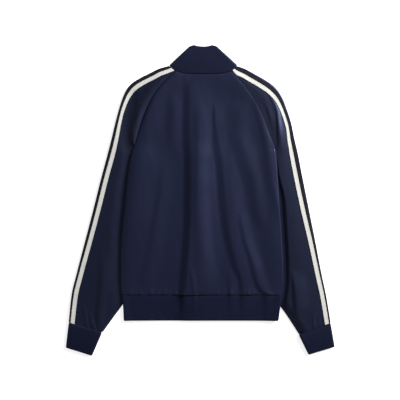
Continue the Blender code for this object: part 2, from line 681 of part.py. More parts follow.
def sleeve_section(side, p):
    """A section of the sleeve: from its inner edge over the outer fold and back beneath."""
    row = {name: float(row_column(side.sleeve, name, p)) for name in SleeveRow._fields}
    closing = float(ease((p - ARMPIT_ROW) / 0.3))
    inner = np.array((row["inner_x"], row["inner_y"]))
    under = inner.copy()
    if ARMPIT_ROW < p <= ARMPIT_ROW + 1:
        tuck = TUCK_DEPTH * float(ease((armpit_y(side) - inner[1] - 6.0) / 20.0))
        inner[0] = under[0] = float(body_edge(side, inner[1])) + side.sign * (2.0 * SEAM_GAP - tuck)
    if p <= ARMPIT_ROW:
        inner[0] = raglan_x(side, inner[1]) + side.sign * 2.0 * RAGLAN_SHIFT
        under[0] = front_raglan(side, under[1]) + side.sign * 2.0 * RAGLAN_SHIFT
    outer = np.array((row["outer_x"], row["outer_y"]))
    outer = outer + (inner - outer) / np.linalg.norm(inner - outer) * TAPE_STACK
    length = float(np.linalg.norm(outer - inner))
    step = (outer - inner) / length
    under_length = float(np.linalg.norm(outer - under))
    under_step = (outer - under) / under_length
    radius = 0.5 * (row["fold_z"] - TAPE_STACK)
    past = armpit_y(side) - inner[1]
    end_low = ARMPIT_LIFT * float(ease(1.0 - past / 20.0)) if p > ARMPIT_ROW \
        else float(underside(under[0:1], under[1:2])[0])
    end_top = end_low + 2.0 * CLOTH + SEAM_GAP
    d = np.linspace(0.0, length - radius, DENSE)
    x = inner[0] + d * step[0]
    y = inner[1] + d * step[1]
    out = ease(d / side.blend)
    z = plateau(x, y) * (1.0 - out) + row["crown_z"] * out
    z = z + fold_height(side.name, x, y) * ease(d / 20.0)
    fall = min(FALL_RUN, 0.7 * length)
    z = z + (row["fold_z"] - z) * ease((d - length + radius + fall) / fall)
    z = press_valley(side, z, x, y, 1.0, p > ARMPIT_ROW)
    z = z + (end_top - z) * closing * (1.0 - np.sin(0.5 * math.pi * np.minimum(d / 14.0, 1.0)))
    top = np.stack([x, y, z], axis=1)

    around = np.linspace(0.0, math.pi, 33)[1:-1]
    fold = [(outer[0] - radius * (1.0 - math.sin(a)) * (step if a < 1.57 else under_step)[0],
             outer[1] - radius * (1.0 - math.sin(a)) * (step if a < 1.57 else under_step)[1],
             TAPE_STACK + radius * (1.0 + math.cos(a))) for a in around]
    d = np.linspace(under_length - radius, 0.0, DENSE // 2)
    z_low = TAPE_STACK * ease((d - under_length + radius + 16.0) / 12.0)
    z_low = z_low + end_low * (1.0 - ease(d / 30.0))
    low = np.stack([under[0] + d * under_step[0], under[1] + d * under_step[1], z_low], axis=1)
    points = np.concatenate([top, fold, low])
    run = run_length(points)
    silhouette = run[len(top) + 15]
    shows = row["black_shows"]
    if shows < radius:
        reach = radius * math.acos(1.0 - shows / radius)
    else:
        reach = radius * 0.5 * math.pi + shows - radius
    black = silhouette - reach
    white = black - TAPE_WIDTH
    black = max(black, 2.6)
    white = max(white, 1.2)
    edge = max(silhouette - reach, black) + TAPE_WIDTH
    dip = side.sign * (top[:, 0] - valley_line(side, top[:, 1])[0])
    dip_run = run[int(np.searchsorted(dip, 0.0))]
    dip_run = min(max(dip_run, 0.15 * white), 0.65 * white)
    along = (-step[1], step[0], 0.0)
    return pieces_of(points, (dip_run, white, black, edge), SLEEVE_SPANS, along)


def build_sleeve(side):
    sections = np.stack([sleeve_section(side, p) for p in sleeve_stops(side)])
    cloth("sleeve_" + side.name, sections, CLOTH)
    return sections


def build_tapes(side, sections):
    """The white and black tapes, made from the sleeve's own points moved out."""
    inside, outside, white, black, low = SLEEVE_SPANS
    first = inside + outside
    for name, start, spans in (("tape_white_", first, white),
                               ("tape_black_", first + white, black)):
        strip = sections[:, start:start + spans + 1].copy()
        edge = 0.12 / TAPE_WIDTH * spans
        strip[:, 0] += edge * (strip[:, 1] - strip[:, 0])
        strip[:, -1] += edge * (strip[:, -2] - strip[:, -1])
        points, normals = strip[..., :3], strip[..., 3:]
        wall(name + side.name, points + TAPE_STACK * normals, points + SEAM_GAP * normals)


def build_cuff(side):
    ends = CUFF_LEFT if side is LEFT else CUFF_RIGHT
    rows = []
    for share in np.linspace(0.0, 1.0, 4):
        row = {name: getattr(ends[0], name) * (1 - share) + getattr(ends[1], name) * share
               for name in CuffEnd._fields}
        swell = 1.0 * math.sin(math.pi * share)
        outer = np.array((row["outer_x"], row["outer_y"]))
        inner = np.array((row["inner_x"], row["inner_y"]))
        length = float(np.linalg.norm(outer - inner))
        step = (outer - inner) / length
        radius = 0.5 * (row["height"] + swell)
        points = []
        for angle in np.linspace(-math.pi / 2, math.pi / 2, 6):
            points.append((length - radius + radius * math.cos(angle), radius * (1 + math.sin(angle))))
        for d in np.linspace(length - radius, radius, 6)[1:-1]:
            points.append((d, 2.0 * radius))
        for angle in np.linspace(math.pi / 2, 1.5 * math.pi, 6):
            points.append((radius + radius * math.cos(angle), radius * (1 + math.sin(angle))))
        for d in np.linspace(radius, length - radius, 6)[1:-1]:
            points.append((d, 0.0))
        ring = np.array([(*(inner + d * step), z) for d, z in points])
        looped = np.concatenate([ring[-1:], ring, ring[:1]])
        normals = section_normals(looped, (step[1], -step[0], 0.0))[1:-1]
        rows.append(np.concatenate([ring, normals], axis=1))
    cloth("cuff_" + side.name, np.array(rows), RIB, closed=True)


COLLAR_FOLDS = (3, 5, 11, 13)    # the stations where the band turns over, and their ends
COLLAR_SPANS = (7, 6, 20, 6, 7)
COLLAR_ROWS = 6


def build_collar():
    outer = []
    seam_line, edge_line = collar_line(0.0), collar_line(1.0)
    along = np.stack([edge_line[0] - seam_line[0], edge_line[1] - seam_line[1],
                      0.0 * seam_line[0]], axis=1)
    for share in np.linspace(0.0, 1.0, COLLAR_ROWS):
        x, y, level = collar_line(share)
        if share == 0.0:
            y = np.where(level > 0.6, np.maximum(y, neck_seam_y(x) + SEAM_GAP), y)
        swell = COLLAR_HEIGHT - 0.6 * share + 1.2 * math.sin(math.pi * share)
        points = np.stack([x, y, swell * level], axis=1)
        run = run_length(points)
        marks = [run[round(k * (len(run) - 1) / (len(COLLAR) - 1))] for k in COLLAR_FOLDS]
        outer.append(pieces_of(points, marks, COLLAR_SPANS, along))
    cloth("collar", np.array(outer), RIB)


HEM_ROWS = 4
HEM_SPANS = (6, 5, 24, 5, 6)


def hem_section(y):
    """A section of the hem band, from one end at the zip round the back to the other."""
    left = np.array(body_side(LEFT, y))
    right = np.array(body_side(RIGHT, y))
    top_x = np.linspace(left[-1][0], right[-1][0], DENSE)
    gathered = float(ease((y - HEM_BOTTOM_Y) / 69.0))
    ys = np.full_like(top_x, y)
    plain = top_height(top_x, ys) - fold_height("body", top_x, ys)
    z = plain + (0.15 + 0.45 * gathered) * fold_height("body", top_x, np.full_like(ys, -246.0))
    z[0] = left[-1][2]
    z[-1] = right[-1][2]
    ends = []
    for side, rolled in ((LEFT, left), (RIGHT, right)):
        free = float(zip_edge(side, y)) + side.sign * (STRIP_ACROSS + SEAM_GAP)
        x = np.linspace(free, rolled[0][0], 60)[:-1]
        ends.append(np.stack([x, np.full_like(x, y), underside(x, np.full_like(x, y))], axis=1))
    points = np.concatenate([ends[0], left, np.stack([top_x, ys, z], axis=1)[1:-1], right[::-1],
                             ends[1][::-1]])
    run = run_length(points)
    marks = (run[len(ends[0])], run[len(ends[0]) + len(left) - 1],
             run[-1] - run_length(np.concatenate([ends[1], right]))[-1],
             run[-1] - run_length(ends[1])[-1])
    return pieces_of(points, marks, HEM_SPANS)


def build_hem():
    ys = np.linspace(HEM_BOTTOM_Y, HEM_SEAM_Y, HEM_ROWS)
    cloth("hem_band", np.stack([hem_section(y) for y in ys]), RIB)


# ---------------------------------------------------------------- the zip

def meeting(point, direction, other, other_direction):
    """Where two lines in plan cross."""
    matrix = np.array([direction, (-other_direction[0], -other_direction[1])]).T
    share = np.linalg.solve(matrix, np.subtract(other, point))
    return np.add(point, share[0] * np.asarray(direction))


def zip_stations(side):
    """Pairs of points down one half of the zip: on its sewn edge and on its free edge."""
    stations = []
    for y in [*np.linspace(HEM_BOTTOM_Y, 40.0, 12), 66.0, ZIP_CLOSED_TOP[1], 120.0, 150.0,
              185.0, 222.0]:
        free = float(zip_edge(side, y))
        stations.append(((free + side.sign * STRIP_ACROSS, y), (free, y)))
    end = COLLAR[0] if side is LEFT else COLLAR[-1]
    seam_end = np.array((end.seam_x, end.seam_y))
    edge_end = np.array((end.edge_x, end.edge_y))
    along = (edge_end - seam_end) / np.linalg.norm(edge_end - seam_end)
    out = np.array((-side.sign * along[1], side.sign * along[0]))
    pairs = []
    for offset, near, far in ((SEAM_GAP, stations[-2][0], stations[-1][0]),
                              (SEAM_GAP + ZIP_STRIP, stations[-2][1], stations[-1][1])):
        pairs.append(meeting(near, np.subtract(far, near), seam_end + offset * out, along))
    stations.append((tuple(pairs[0]), tuple(pairs[1])))
    for share in (0.3, 0.65, 0.995):
        place = seam_end + share * (edge_end - seam_end)
        stations.append((tuple(place + SEAM_GAP * out), tuple(place + (SEAM_GAP + ZIP_STRIP) * out)))
    return stations


def build_zip_half(side):
    rows = []
    for sewn, free in zip_stations(side):
        spread = np.linspace(0.0, 1.0, 3)[:, None]
        xy = np.array(sewn) * (1 - spread) + np.array(free) * spread
        rows.append([(x, y, float(underside(np.array(x), np.array(y)))) for x, y in xy])
    grid = np.array(rows)
    lift = np.zeros_like(grid)
    lift[..., 2] = ZIP_WALL
    wall("zip_" + side.name, grid, grid + lift)


SLIDER_X, SLIDER_Y = 11.0, 92.0
PLATE = (9.0, 11.0, 1.2)
PIN_Y = 90.0
PIN_Z = 1.9
PIN_RADIUS = 0.5
LUG = (1.0, 2.6)
TAB_WIDTH = 5.4
TAB_LENGTH = 24.0
TAB_WALL = 1.0
BARREL_RADIUS = 1.2
BARREL_BORE = 0.8
RUNNING_GAP = 0.3


def block(name, low, high, collection):
    """A box between two corners."""
    bpy.ops.mesh.primitive_cube_add(size=1.0)
    made = bpy.context.object
    made.name = name
    centre = [0.5 * (a + b) * MM for a, b in zip(low, high)]
    made.location = centre
    made.scale = [(b - a) * MM for a, b in zip(low, high)]
    for old in made.users_collection:
        old.objects.unlink(made)
    collection.objects.link(made)
    bpy.context.view_layer.update()
    return made


def build_slider():
    """Two plates on a post, and two lugs with a pin for the pull tab."""
    strip_low = float(underside(np.array(SLIDER_X), np.array(SLIDER_Y)))
    outer_top = strip_low - SEAM_GAP
    inner_low = strip_low + ZIP_WALL + SEAM_GAP
    wide, long, thick = PLATE
    half = 0.5 * wide
    low_y = SLIDER_Y - 4.0
    body = block("zip_slider", (SLIDER_X - half, low_y, outer_top - thick),
                 (SLIDER_X + half, low_y + long, outer_top), JACKET)
    body.data.materials.append(PAINTS["zip_slider"])
    lug_in = 0.5 * TAB_WIDTH + RUNNING_GAP
    parts = [block("cut_inner_plate", (SLIDER_X - half + 0.3, low_y + 0.4, inner_low),
                   (SLIDER_X + half - 0.3, low_y + long - 0.2, inner_low + 1.0), TOOLS),
             block("cut_post", (SLIDER_X - 0.8, low_y + 8.6, outer_top - 0.5),
                   (SLIDER_X + 0.8, low_y + 10.6, inner_low + 0.5), TOOLS)]
    for sign in (-1, 1):
        near = SLIDER_X + sign * lug_in
        far = SLIDER_X + sign * (lug_in + LUG[0])
        parts.append(block("cut_lug", (min(near, far), PIN_Y - 0.5 * LUG[1], PIN_Z - 1.2),
                           (max(near, far), PIN_Y + 0.5 * LUG[1], outer_top - 0.6), TOOLS))
    bpy.ops.mesh.primitive_cylinder_add(vertices=16, radius=PIN_RADIUS * MM,
                                        depth=2.0 * (lug_in + 0.5) * MM,
                                        location=(SLIDER_X * MM, PIN_Y * MM, PIN_Z * MM),
                                        rotation=(0.0, 0.5 * math.pi, 0.0))
    pin = bpy.context.object
    for old in pin.users_collection:
        old.objects.unlink(pin)
    TOOLS.objects.link(pin)
    parts.append(pin)
    for part in parts:
        joined = body.modifiers.new("join", "BOOLEAN")
        joined.operation = "UNION"
        joined.solver = "EXACT"
        joined.object = part


def build_pull_tab():
    """A flat tab with a barrel at its top, drawn as a side outline and given its width."""
    curve = bpy.data.curves.new("pull_tab", "CURVE")
    curve.dimensions = "2D"
    curve.fill_mode = "BOTH"
    curve.extrude = 0.5 * TAB_WIDTH * MM
    half = 0.5 * TAB_WALL
    leave = math.asin(half / BARREL_RADIUS)
    outline = [(BARREL_RADIUS * math.cos(a), BARREL_RADIUS * math.sin(a))
               for a in np.linspace(-math.pi + leave, math.pi - leave, 15)]
    outline += [(-TAB_LENGTH + half, half), (-TAB_LENGTH, 0.5 * half),
                (-TAB_LENGTH, -0.5 * half), (-TAB_LENGTH + half, -half)]
    bore = [(BARREL_BORE * math.cos(a), BARREL_BORE * math.sin(a))
            for a in np.linspace(0.0, 2.0 * math.pi, 17)[:-1]]
    for points in (outline, bore):
        spline = curve.splines.new("POLY")
        spline.points.add(len(points) - 1)
        for point, (u, v) in zip(spline.points, points):
            point.co = (u * MM, v * MM, 0.0, 1.0)
        spline.use_cyclic_u = True
    made = add_object("pull_tab", curve)
    made.rotation_euler = (0.5 * math.pi, 0.0, 0.5 * math.pi)
    made.location = (SLIDER_X * MM, PIN_Y * MM, PIN_Z * MM)


# ---------------------------------------------------------------- the jacket

for old_object in list(bpy.data.objects):
    bpy.data.objects.remove(old_object, do_unlink=True)
JACKET = bpy.data.collections.new("track_jacket")
TOOLS = bpy.data.collections.new("tools")
for made_collection in (JACKET, TOOLS):
    bpy.context.scene.collection.children.link(made_collection)

NAVY = (0.024, 0.029, 0.062)
NAVY_RIB = (0.013, 0.017, 0.040)
PAINTS = {}
for node in ("back", "front_left", "front_right", "sleeve_left", "sleeve_right"):
    PAINTS[node] = material(node + "_tricot", NAVY, 0.75)
for node in ("collar", "hem_band", "cuff_left", "cuff_right"):
    PAINTS[node] = material(node + "_rib", NAVY_RIB, 0.85)
for side_name in ("left", "right"):
    PAINTS["tape_white_" + side_name] = material("white_tape_" + side_name,
                                                 (0.80, 0.78, 0.74), 0.8)
    PAINTS["tape_black_" + side_name] = material("black_tape_" + side_name,
                                                 (0.022, 0.021, 0.019), 0.8)
    PAINTS["zip_" + side_name] = material("zip_tape_" + side_name, (0.012, 0.014, 0.030), 0.7)
PAINTS["zip_slider"] = material("zip_metal", (0.10, 0.10, 0.11), 0.35, 1.0)
PAINTS["pull_tab"] = material("pull_metal", (0.10, 0.10, 0.11), 0.35, 1.0)

build_back()
for each_side in (LEFT, RIGHT):
    build_front(each_side)
    sleeve_points = build_sleeve(each_side)
    build_tapes(each_side, sleeve_points)
    build_cuff(each_side)
    build_zip_half(each_side)
build_collar()
build_hem()
build_slider()
build_pull_tab()
for tool in TOOLS.objects:
    tool.hide_render = True
    tool.display_type = "WIRE"
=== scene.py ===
"""The finish of a track jacket that is laid flat, face down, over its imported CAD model.

Lengths are in millimetres and are turned to metres where a mesh is made.  X runs across the
jacket, +Y points to the collar and Z is up.
"""

import math
from collections import namedtuple

import bpy
import numpy as np
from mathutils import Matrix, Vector, noise


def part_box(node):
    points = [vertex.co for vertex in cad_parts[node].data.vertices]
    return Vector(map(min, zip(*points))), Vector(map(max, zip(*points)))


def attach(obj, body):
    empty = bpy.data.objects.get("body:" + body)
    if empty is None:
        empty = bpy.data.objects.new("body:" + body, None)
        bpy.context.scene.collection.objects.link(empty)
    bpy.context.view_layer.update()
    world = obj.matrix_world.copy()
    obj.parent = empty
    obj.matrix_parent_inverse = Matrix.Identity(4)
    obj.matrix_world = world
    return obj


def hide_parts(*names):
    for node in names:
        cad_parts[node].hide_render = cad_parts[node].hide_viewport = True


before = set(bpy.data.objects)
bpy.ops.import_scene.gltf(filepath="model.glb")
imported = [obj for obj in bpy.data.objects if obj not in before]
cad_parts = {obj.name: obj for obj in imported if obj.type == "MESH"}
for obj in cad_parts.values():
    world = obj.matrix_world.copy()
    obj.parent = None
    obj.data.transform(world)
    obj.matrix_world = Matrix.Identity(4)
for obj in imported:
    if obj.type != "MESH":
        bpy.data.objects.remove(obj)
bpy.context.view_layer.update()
MM = 0.001

# ---------------------------------------------------------------- zip slider and pull tab
# The slider and its tab are die-cast zinc with a dark satin lacquer.  They lie beneath the
# jacket, at the foot of the open neck.


def linear(hex_colour):
    """An sRGB hex colour as linear red, green, blue and alpha."""
    parts = [int(hex_colour[i:i + 2], 16) / 255.0 for i in (0, 2, 4)]
    return [c / 12.92 if c <= 0.04045 else ((c + 0.055) / 1.055) ** 2.4 for c in parts] + [1.0]


def add_node(tree, kind, settings=None, links=None):
    """Add a node with its settings, given by property or socket name, and its linked sockets."""
    node = tree.nodes.new(kind)
    for key, value in (settings or {}).items():
        if isinstance(key, str) and hasattr(node, key):
            setattr(node, key, value)
        else:
            node.inputs[key].default_value = value
    for key, source in (links or {}).items():
        tree.links.new(source, node.inputs[key])
    return node


def new_material(name, **sockets):
    """A material with a Principled shader, and values for the shader's own sockets."""
    made = bpy.data.materials.new(name)
    made.use_nodes = True
    shader = made.node_tree.nodes["Principled BSDF"]
    for key, value in sockets.items():
        shader.inputs[key.replace("_", " ")].default_value = value
    return made, made.node_tree, shader


def uneven(tree, scale, detail, roughness=0.5):
    """Noise that stays with the object."""
    place = add_node(tree, "ShaderNodeTexCoord")
    grain = add_node(tree, "ShaderNodeTexNoise",
                     {"Scale": scale, "Detail": detail, "Roughness": roughness},
                     {"Vector": place.outputs["Object"]})
    return grain.outputs["Fac"]


def relief(tree, shader, height, strength, depth_mm):
    """Raise the surface by a height."""
    bump = add_node(tree, "ShaderNodeBump", {"Strength": strength, "Distance": depth_mm * MM},
                    {"Height": height})
    tree.links.new(bump.outputs["Normal"], shader.inputs["Normal"])


def two_tones(tree, shader, share, colour, other):
    """Colour the surface with the second tone where the share is 0 and the first where it is 1."""
    blend = add_node(tree, "ShaderNodeMix",
                     {"data_type": "RGBA", 6: linear(other), 7: linear(colour)}, {0: share})
    tree.links.new(blend.outputs[2], shader.inputs["Base Color"])


# Lacquered zinc: dark, a little uneven from the casting, with soft highlights.
LACQUER_GRAIN_MM = 0.6
lacquer, tree, shader = new_material("lacquered_zinc", Base_Color=linear("3C3D42"), Metallic=1.0,
                                     Roughness=0.38)
grain = uneven(tree, scale=1.0 / (LACQUER_GRAIN_MM * MM), detail=2.0)
relief(tree, shader, grain, strength=0.15, depth_mm=0.1)
for node in ("zip_slider", "pull_tab"):
    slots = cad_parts[node].data.materials
    slots.clear()
    slots.append(lacquer)

# ---------------------------------------------------------------- cuffs
# Each cuff is a folded tube of fine rib knit in navy, sewn to the gathered end of the sleeve.
# Its ribs run from the seam to the open end.

RIB_WALL = 2.0
COARSE = 3                # the inside of each wall has one point for every three outside, so
                          # a piece has one row more than a multiple of it
CuffEnd = namedtuple("CuffEnd", "outer_x outer_y inner_x inner_y height")
CUFFS = {
    "left": (CuffEnd(-349.2, -324.5, -260.6, -351.5, 10.5), CuffEnd(-357, -390, -287, -412, 9.0)),
    "right": (CuffEnd(346.3, -325.5, 261.6, -357.5, 10.5), CuffEnd(357, -388, 287, -409, 9.0)),
}
CUFF_ROWS = 31
CUFF_COLUMNS = 210
ROUND_POINTS = 40         # on each folded side, before a section is spaced out
FLAT_POINTS = 60          # and on each flat of the tube
ROUNDED = 3.0             # width over which a sewn or folded edge is rounded
EASED = 9.0               # width over which the piece below it sinks towards the seam
EDGE_RUNS = (0.0, 0.4, 0.9, 1.6, 2.4, 3.4)    # where the rows near an edge lie
ALLOWANCE = ((0.3, 0.7), (1.2, 1.0), (2.5, 1.1))   # run past the seam and depth below its edge
ALLOWANCE_WALL = 0.6
SHARP = math.radians(55.0)
MAP_SCALE = 0.01          # units of a piece's map for a millimetre of its cloth


def unit(vectors):
    """The same directions at length 1."""
    return vectors / np.maximum(np.linalg.norm(vectors, axis=-1, keepdims=True), 1e-9)


def section_normals(points, along):
    """Normals of a section, square to it and to the way the cloth runs on from it."""
    return unit(np.cross(np.gradient(points, axis=0), np.broadcast_to(along, points.shape)))


def run_length(points, axis=0):
    """How far each point lies along its line, where the lines follow one axis of a grid."""
    steps = np.linalg.norm(np.diff(points, axis=axis), axis=-1)
    start = np.zeros_like(steps.take([0], axis))
    return np.concatenate([start, np.cumsum(steps, axis=axis)], axis=axis)


def read_line(wanted, run, line):
    """Read all the columns of a line at the wanted lengths of its run."""
    return np.stack([np.interp(wanted, run, values) for values in line.T], axis=-1)


def edge_drop(distance, depth):
    """How far an edge lies below the face: rounded if depth is positive, or else just eased."""
    width = ROUNDED * max(depth, 1.0) if depth > 0 else EASED
    return abs(depth) * np.clip(1.0 - distance / width, 0.0, 1.0) ** 2


def add_allowance(sections, wall, edge):
    """Carry a piece on beneath its neighbour by its seam allowance, at one of its four edges."""
    axis, first = edge // 2, edge % 2 == 0
    end, before = (sections.take(k, axis) for k in ((0, 1) if first else (-1, -2)))
    along = unit(end[:, :3] - before[:, :3])
    added = [np.concatenate([end[:, :3] + run * along - depth * end[:, 3:], end[:, 3:]], axis=1)
             for run, depth in (ALLOWANCE[::-1] if first else ALLOWANCE)]
    added = np.stack(added, axis)
    added_wall = np.full(added.shape[:2], ALLOWANCE_WALL)
    pairs = ((sections, added), (wall, added_wall))
    return [np.concatenate(pair[::-1] if first else pair, axis) for pair in pairs]


def quads(grid, lower=False):
    """The corners of each cell of a grid, turned round for a face that looks down."""
    corners = [grid[:-1, :-1], grid[:-1, 1:], grid[1:, 1:], grid[1:, :-1]]
    if lower:
        corners[1], corners[3] = corners[3], corners[1]
    corners = np.stack(corners, axis=2)
    return corners.reshape(-1, *corners.shape[2 if grid.ndim == 2 else 3:]).tolist()


def in_scene(name, data):
    """A new object of the scene."""
    made = bpy.data.objects.new(name, data)
    bpy.context.scene.collection.objects.link(made)
    return made


outer_faces = {}          # the points and normals of each piece's face, for its stitching


def shell(name, node, sections, thickness, paint, edges=(0, 0, 0, 0), closed=False):
    """A wall of cloth that stands for a CAD node: a fine outer face, a coarse inner one, rims.

    sections holds points and normals by row and column.  edges says how deep the first row, last
    row, first column and last column sink: more than 0 is a rounded edge, less than 0 an eased
    one.
    """
    spare = 0 if closed else (sections.shape[1] - 1) % COARSE
    sections = sections[:, :sections.shape[1] - spare]
    outer, normals = sections[..., :3], sections[..., 3:]
    u, v = run_length(outer, 1), run_length(outer, 0)
    drop = np.zeros(outer.shape[:2])
    for distance, depth in zip((v, v[-1] - v, u, u[:, -1:] - u), edges):
        drop = np.maximum(drop, edge_drop(distance, depth))
    sections = np.concatenate([outer - drop[..., None] * normals, normals], axis=2)
    outer_faces[name] = sections
    wall = np.maximum(thickness - drop, ALLOWANCE_WALL)
    for edge, depth in enumerate(edges):
        if depth < 0:
            sections, wall = add_allowance(sections, wall, edge)
            grow = [(0, 0), (0, 0)]
            grow[edge // 2] = (len(ALLOWANCE), 0) if edge % 2 == 0 else (0, len(ALLOWANCE))
            u, v = (np.pad(place, grow, mode="reflect", reflect_type="odd") for place in (u, v))
    outer, normals = sections[..., :3], sections[..., 3:]
    inner = (outer - wall[..., None] * normals)[::COARSE, ::COARSE]
    index = np.arange(wall.size).reshape(wall.shape)
    low_index = wall.size + np.arange(inner[..., 0].size).reshape(inner.shape[:2])
    if closed:
        index = np.concatenate([index, index[:, :1]], axis=1)
        low_index = np.concatenate([low_index, low_index[:, :1]], axis=1)
        seam = np.linalg.norm(outer[:, 0] - outer[:, -1], axis=1)
        u = np.concatenate([u, u[:, -1:] + seam[:, None]], axis=1)
        v = np.concatenate([v, v[:, :1]], axis=1)
    uv = np.stack([u, v], axis=2)
    polygons = quads(index) + quads(low_index, True)
    places = quads(uv) + quads(uv[::COARSE, ::COARSE], True)
    rims = [(0, True, index, low_index, uv), (-1, False, index, low_index, uv)]
    if not closed:
        turned = (index.T, low_index.T, uv.swapaxes(0, 1))
        rims += [(0, False, *turned), (-1, True, *turned)]
    for end, turn, lines, low_lines, line_uvs in rims:
        line, low_line, line_uv = (each[end].tolist() for each in (lines, low_lines, line_uvs))
        for k in range(len(low_line) - 1):
            first, last = k * COARSE, (k + 1) * COARSE
            loop = [*line[first:last + 1], low_line[k + 1], low_line[k]]
            loop_uv = [*line_uv[first:last + 1], line_uv[last], line_uv[first]]
            polygons.append(loop[::-1] if turn else loop)
            places.extend(loop_uv[::-1] if turn else loop_uv)
    mesh = bpy.data.meshes.new(name)
    points = np.concatenate([outer.reshape(-1, 3), inner.reshape(-1, 3)]) * MM
    mesh.from_pydata(points.tolist(), [], polygons)
    layer = mesh.uv_layers.new(name="cloth_mm")
    layer.data.foreach_set("uv", (np.array(places) * MAP_SCALE).ravel())
    mesh.shade_smooth()
    mesh.set_sharp_from_angle(angle=SHARP)
    mesh.materials.append(paint)
    made = in_scene(name, mesh)
    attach(made, "jacket")
    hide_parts(node)
    return made


def knit(name, colour, other, wale, course, ribs, depth, shine, roughness):
    """Knitted cloth: wales along v and courses along u of the piece's own map.

    wale, course and depth are in millimetres, and ribs is the depth of the courses as a share of
    that of the wales.
    """
    made, tree, shader = new_material(name, Roughness=roughness, Specular_IOR_Level=shine,
                                      Specular_Tint=linear("AEBCF6"))
    spot = add_node(tree, "ShaderNodeUVMap", {"uv_map": "cloth_mm"})
    apart = add_node(tree, "ShaderNodeSeparateXYZ", links={"Vector": spot.outputs["UV"]})
    heights = []
    for axis, pitch, share in (("X", wale, 1.0), ("Y", course, ribs)):
        turns = add_node(tree, "ShaderNodeMath",
                         {"operation": "MULTIPLY", 1: 2.0 * math.pi / (MAP_SCALE * pitch)},
                         {0: apart.outputs[axis]})
        wave = add_node(tree, "ShaderNodeMath", {"operation": "SINE"}, {0: turns.outputs[0]})
        heights.append(add_node(tree, "ShaderNodeMath", {"operation": "MULTIPLY", 1: share},
                                {0: wave.outputs[0]}).outputs[0])
    total = add_node(tree, "ShaderNodeMath", {"operation": "ADD"}, dict(enumerate(heights)))
    relief(tree, shader, total.outputs[0], strength=0.6, depth_mm=depth)
    tone = add_node(tree, "ShaderNodeMapRange", {"From Min": 0.3, "From Max": 0.7},
                    {"Value": uneven(tree, scale=90.0, detail=3.0, roughness=0.6)})
    two_tones(tree, shader, tone.outputs["Result"], colour, other)
    return made


# Fine rib knit, polyester with some elastane: matt, a little darker than the body.
RIB_PITCH_MM = 2.2        # one rib and one furrow
rib_knit = knit("fine_rib_knit", "101325", "0E1020", wale=RIB_PITCH_MM, course=1.2, ribs=0.15,
                depth=0.05, shine=0.22, roughness=0.55)


def cuff_section(ends, share):
    """A section round the flattened tube of a cuff, at a share of its length."""
    row = CuffEnd(*(a * (1.0 - share) + b * share for a, b in zip(*ends)))
    outer = np.array((row.outer_x, row.outer_y))
    inner = np.array((row.inner_x, row.inner_y))
    length = math.dist(outer, inner)
    step = (outer - inner) / length
    radius = 0.5 * (row.height + math.sin(math.pi * share))
    far = length - radius
    side = [(math.cos(a), math.sin(a)) for a in np.linspace(-math.pi / 2, math.pi / 2, ROUND_POINTS)]
    ring = [(far + radius * c, radius * (1 + s)) for c, s in side]
    ring += [(d, 2.0 * radius) for d in np.linspace(far, radius, FLAT_POINTS)[1:-1]]
    ring += [(radius - radius * c, radius * (1 - s)) for c, s in side]
    ring += [(d, 0.0) for d in np.linspace(radius, far, FLAT_POINTS)[1:-1]]
    ring = np.array([(*(inner + d * step), z) for d, z in ring + ring[:1]])
    run = run_length(ring)
    wanted = np.linspace(0.0, run[-1], CUFF_COLUMNS + 1)[:-1]
    points = read_line(wanted, run, ring)
    looped = np.concatenate([points[-1:], points, points[:1]])
    normals = section_normals(looped, (step[1], -step[0], 0.0))[1:-1]
    return np.concatenate([points, normals], axis=1)


def edge_rows(length, count):
    """Rows down a piece of a given length, closer together at its rounded ends."""
    inside = np.linspace(EDGE_RUNS[-1], length - EDGE_RUNS[-1], count - 2 * len(EDGE_RUNS) + 2)
    ends = np.array(EDGE_RUNS[:-1])
    return np.concatenate([ends, inside, length - ends[::-1]])


for side_name, cuff_ends in CUFFS.items():
    cuff_length = math.dist(cuff_ends[0][:2], cuff_ends[1][:2])
    shares = edge_rows(cuff_length, CUFF_ROWS) / cuff_length
    cuff = shell("rib_cuff_" + side_name, "cuff_" + side_name,
                 np.stack([cuff_section(cuff_ends, share) for share in shares]),
                 RIB_WALL, rib_knit, (-0.6, 1.0, 0, 0), closed=True)

# ---------------------------------------------------------------- sleeves
# Each raglan sleeve is one panel of brushed tricot, folded along the arm with its tapes on the
# outer fold.  Its inner part is tucked under the body.

CLOTH = 1.5               # wall of the tricot
TAPE = 1.0                # wall of a tape
SEAM_GAP = 0.3            # between two pieces that are sewn together
TAPE_STACK = SEAM_GAP + TAPE
TAPE_WIDTH = 12.5
MIDDLE_HEIGHT = 9.3       # height of the back in its middle
UNDER_SIDE = 5.9          # height of the lower layer where it lies on a sleeve
HEM_SEAM_Y = -250.0
HEM_BOTTOM_Y = -319.0
DENSE = 700               # points on a section before it is spaced out

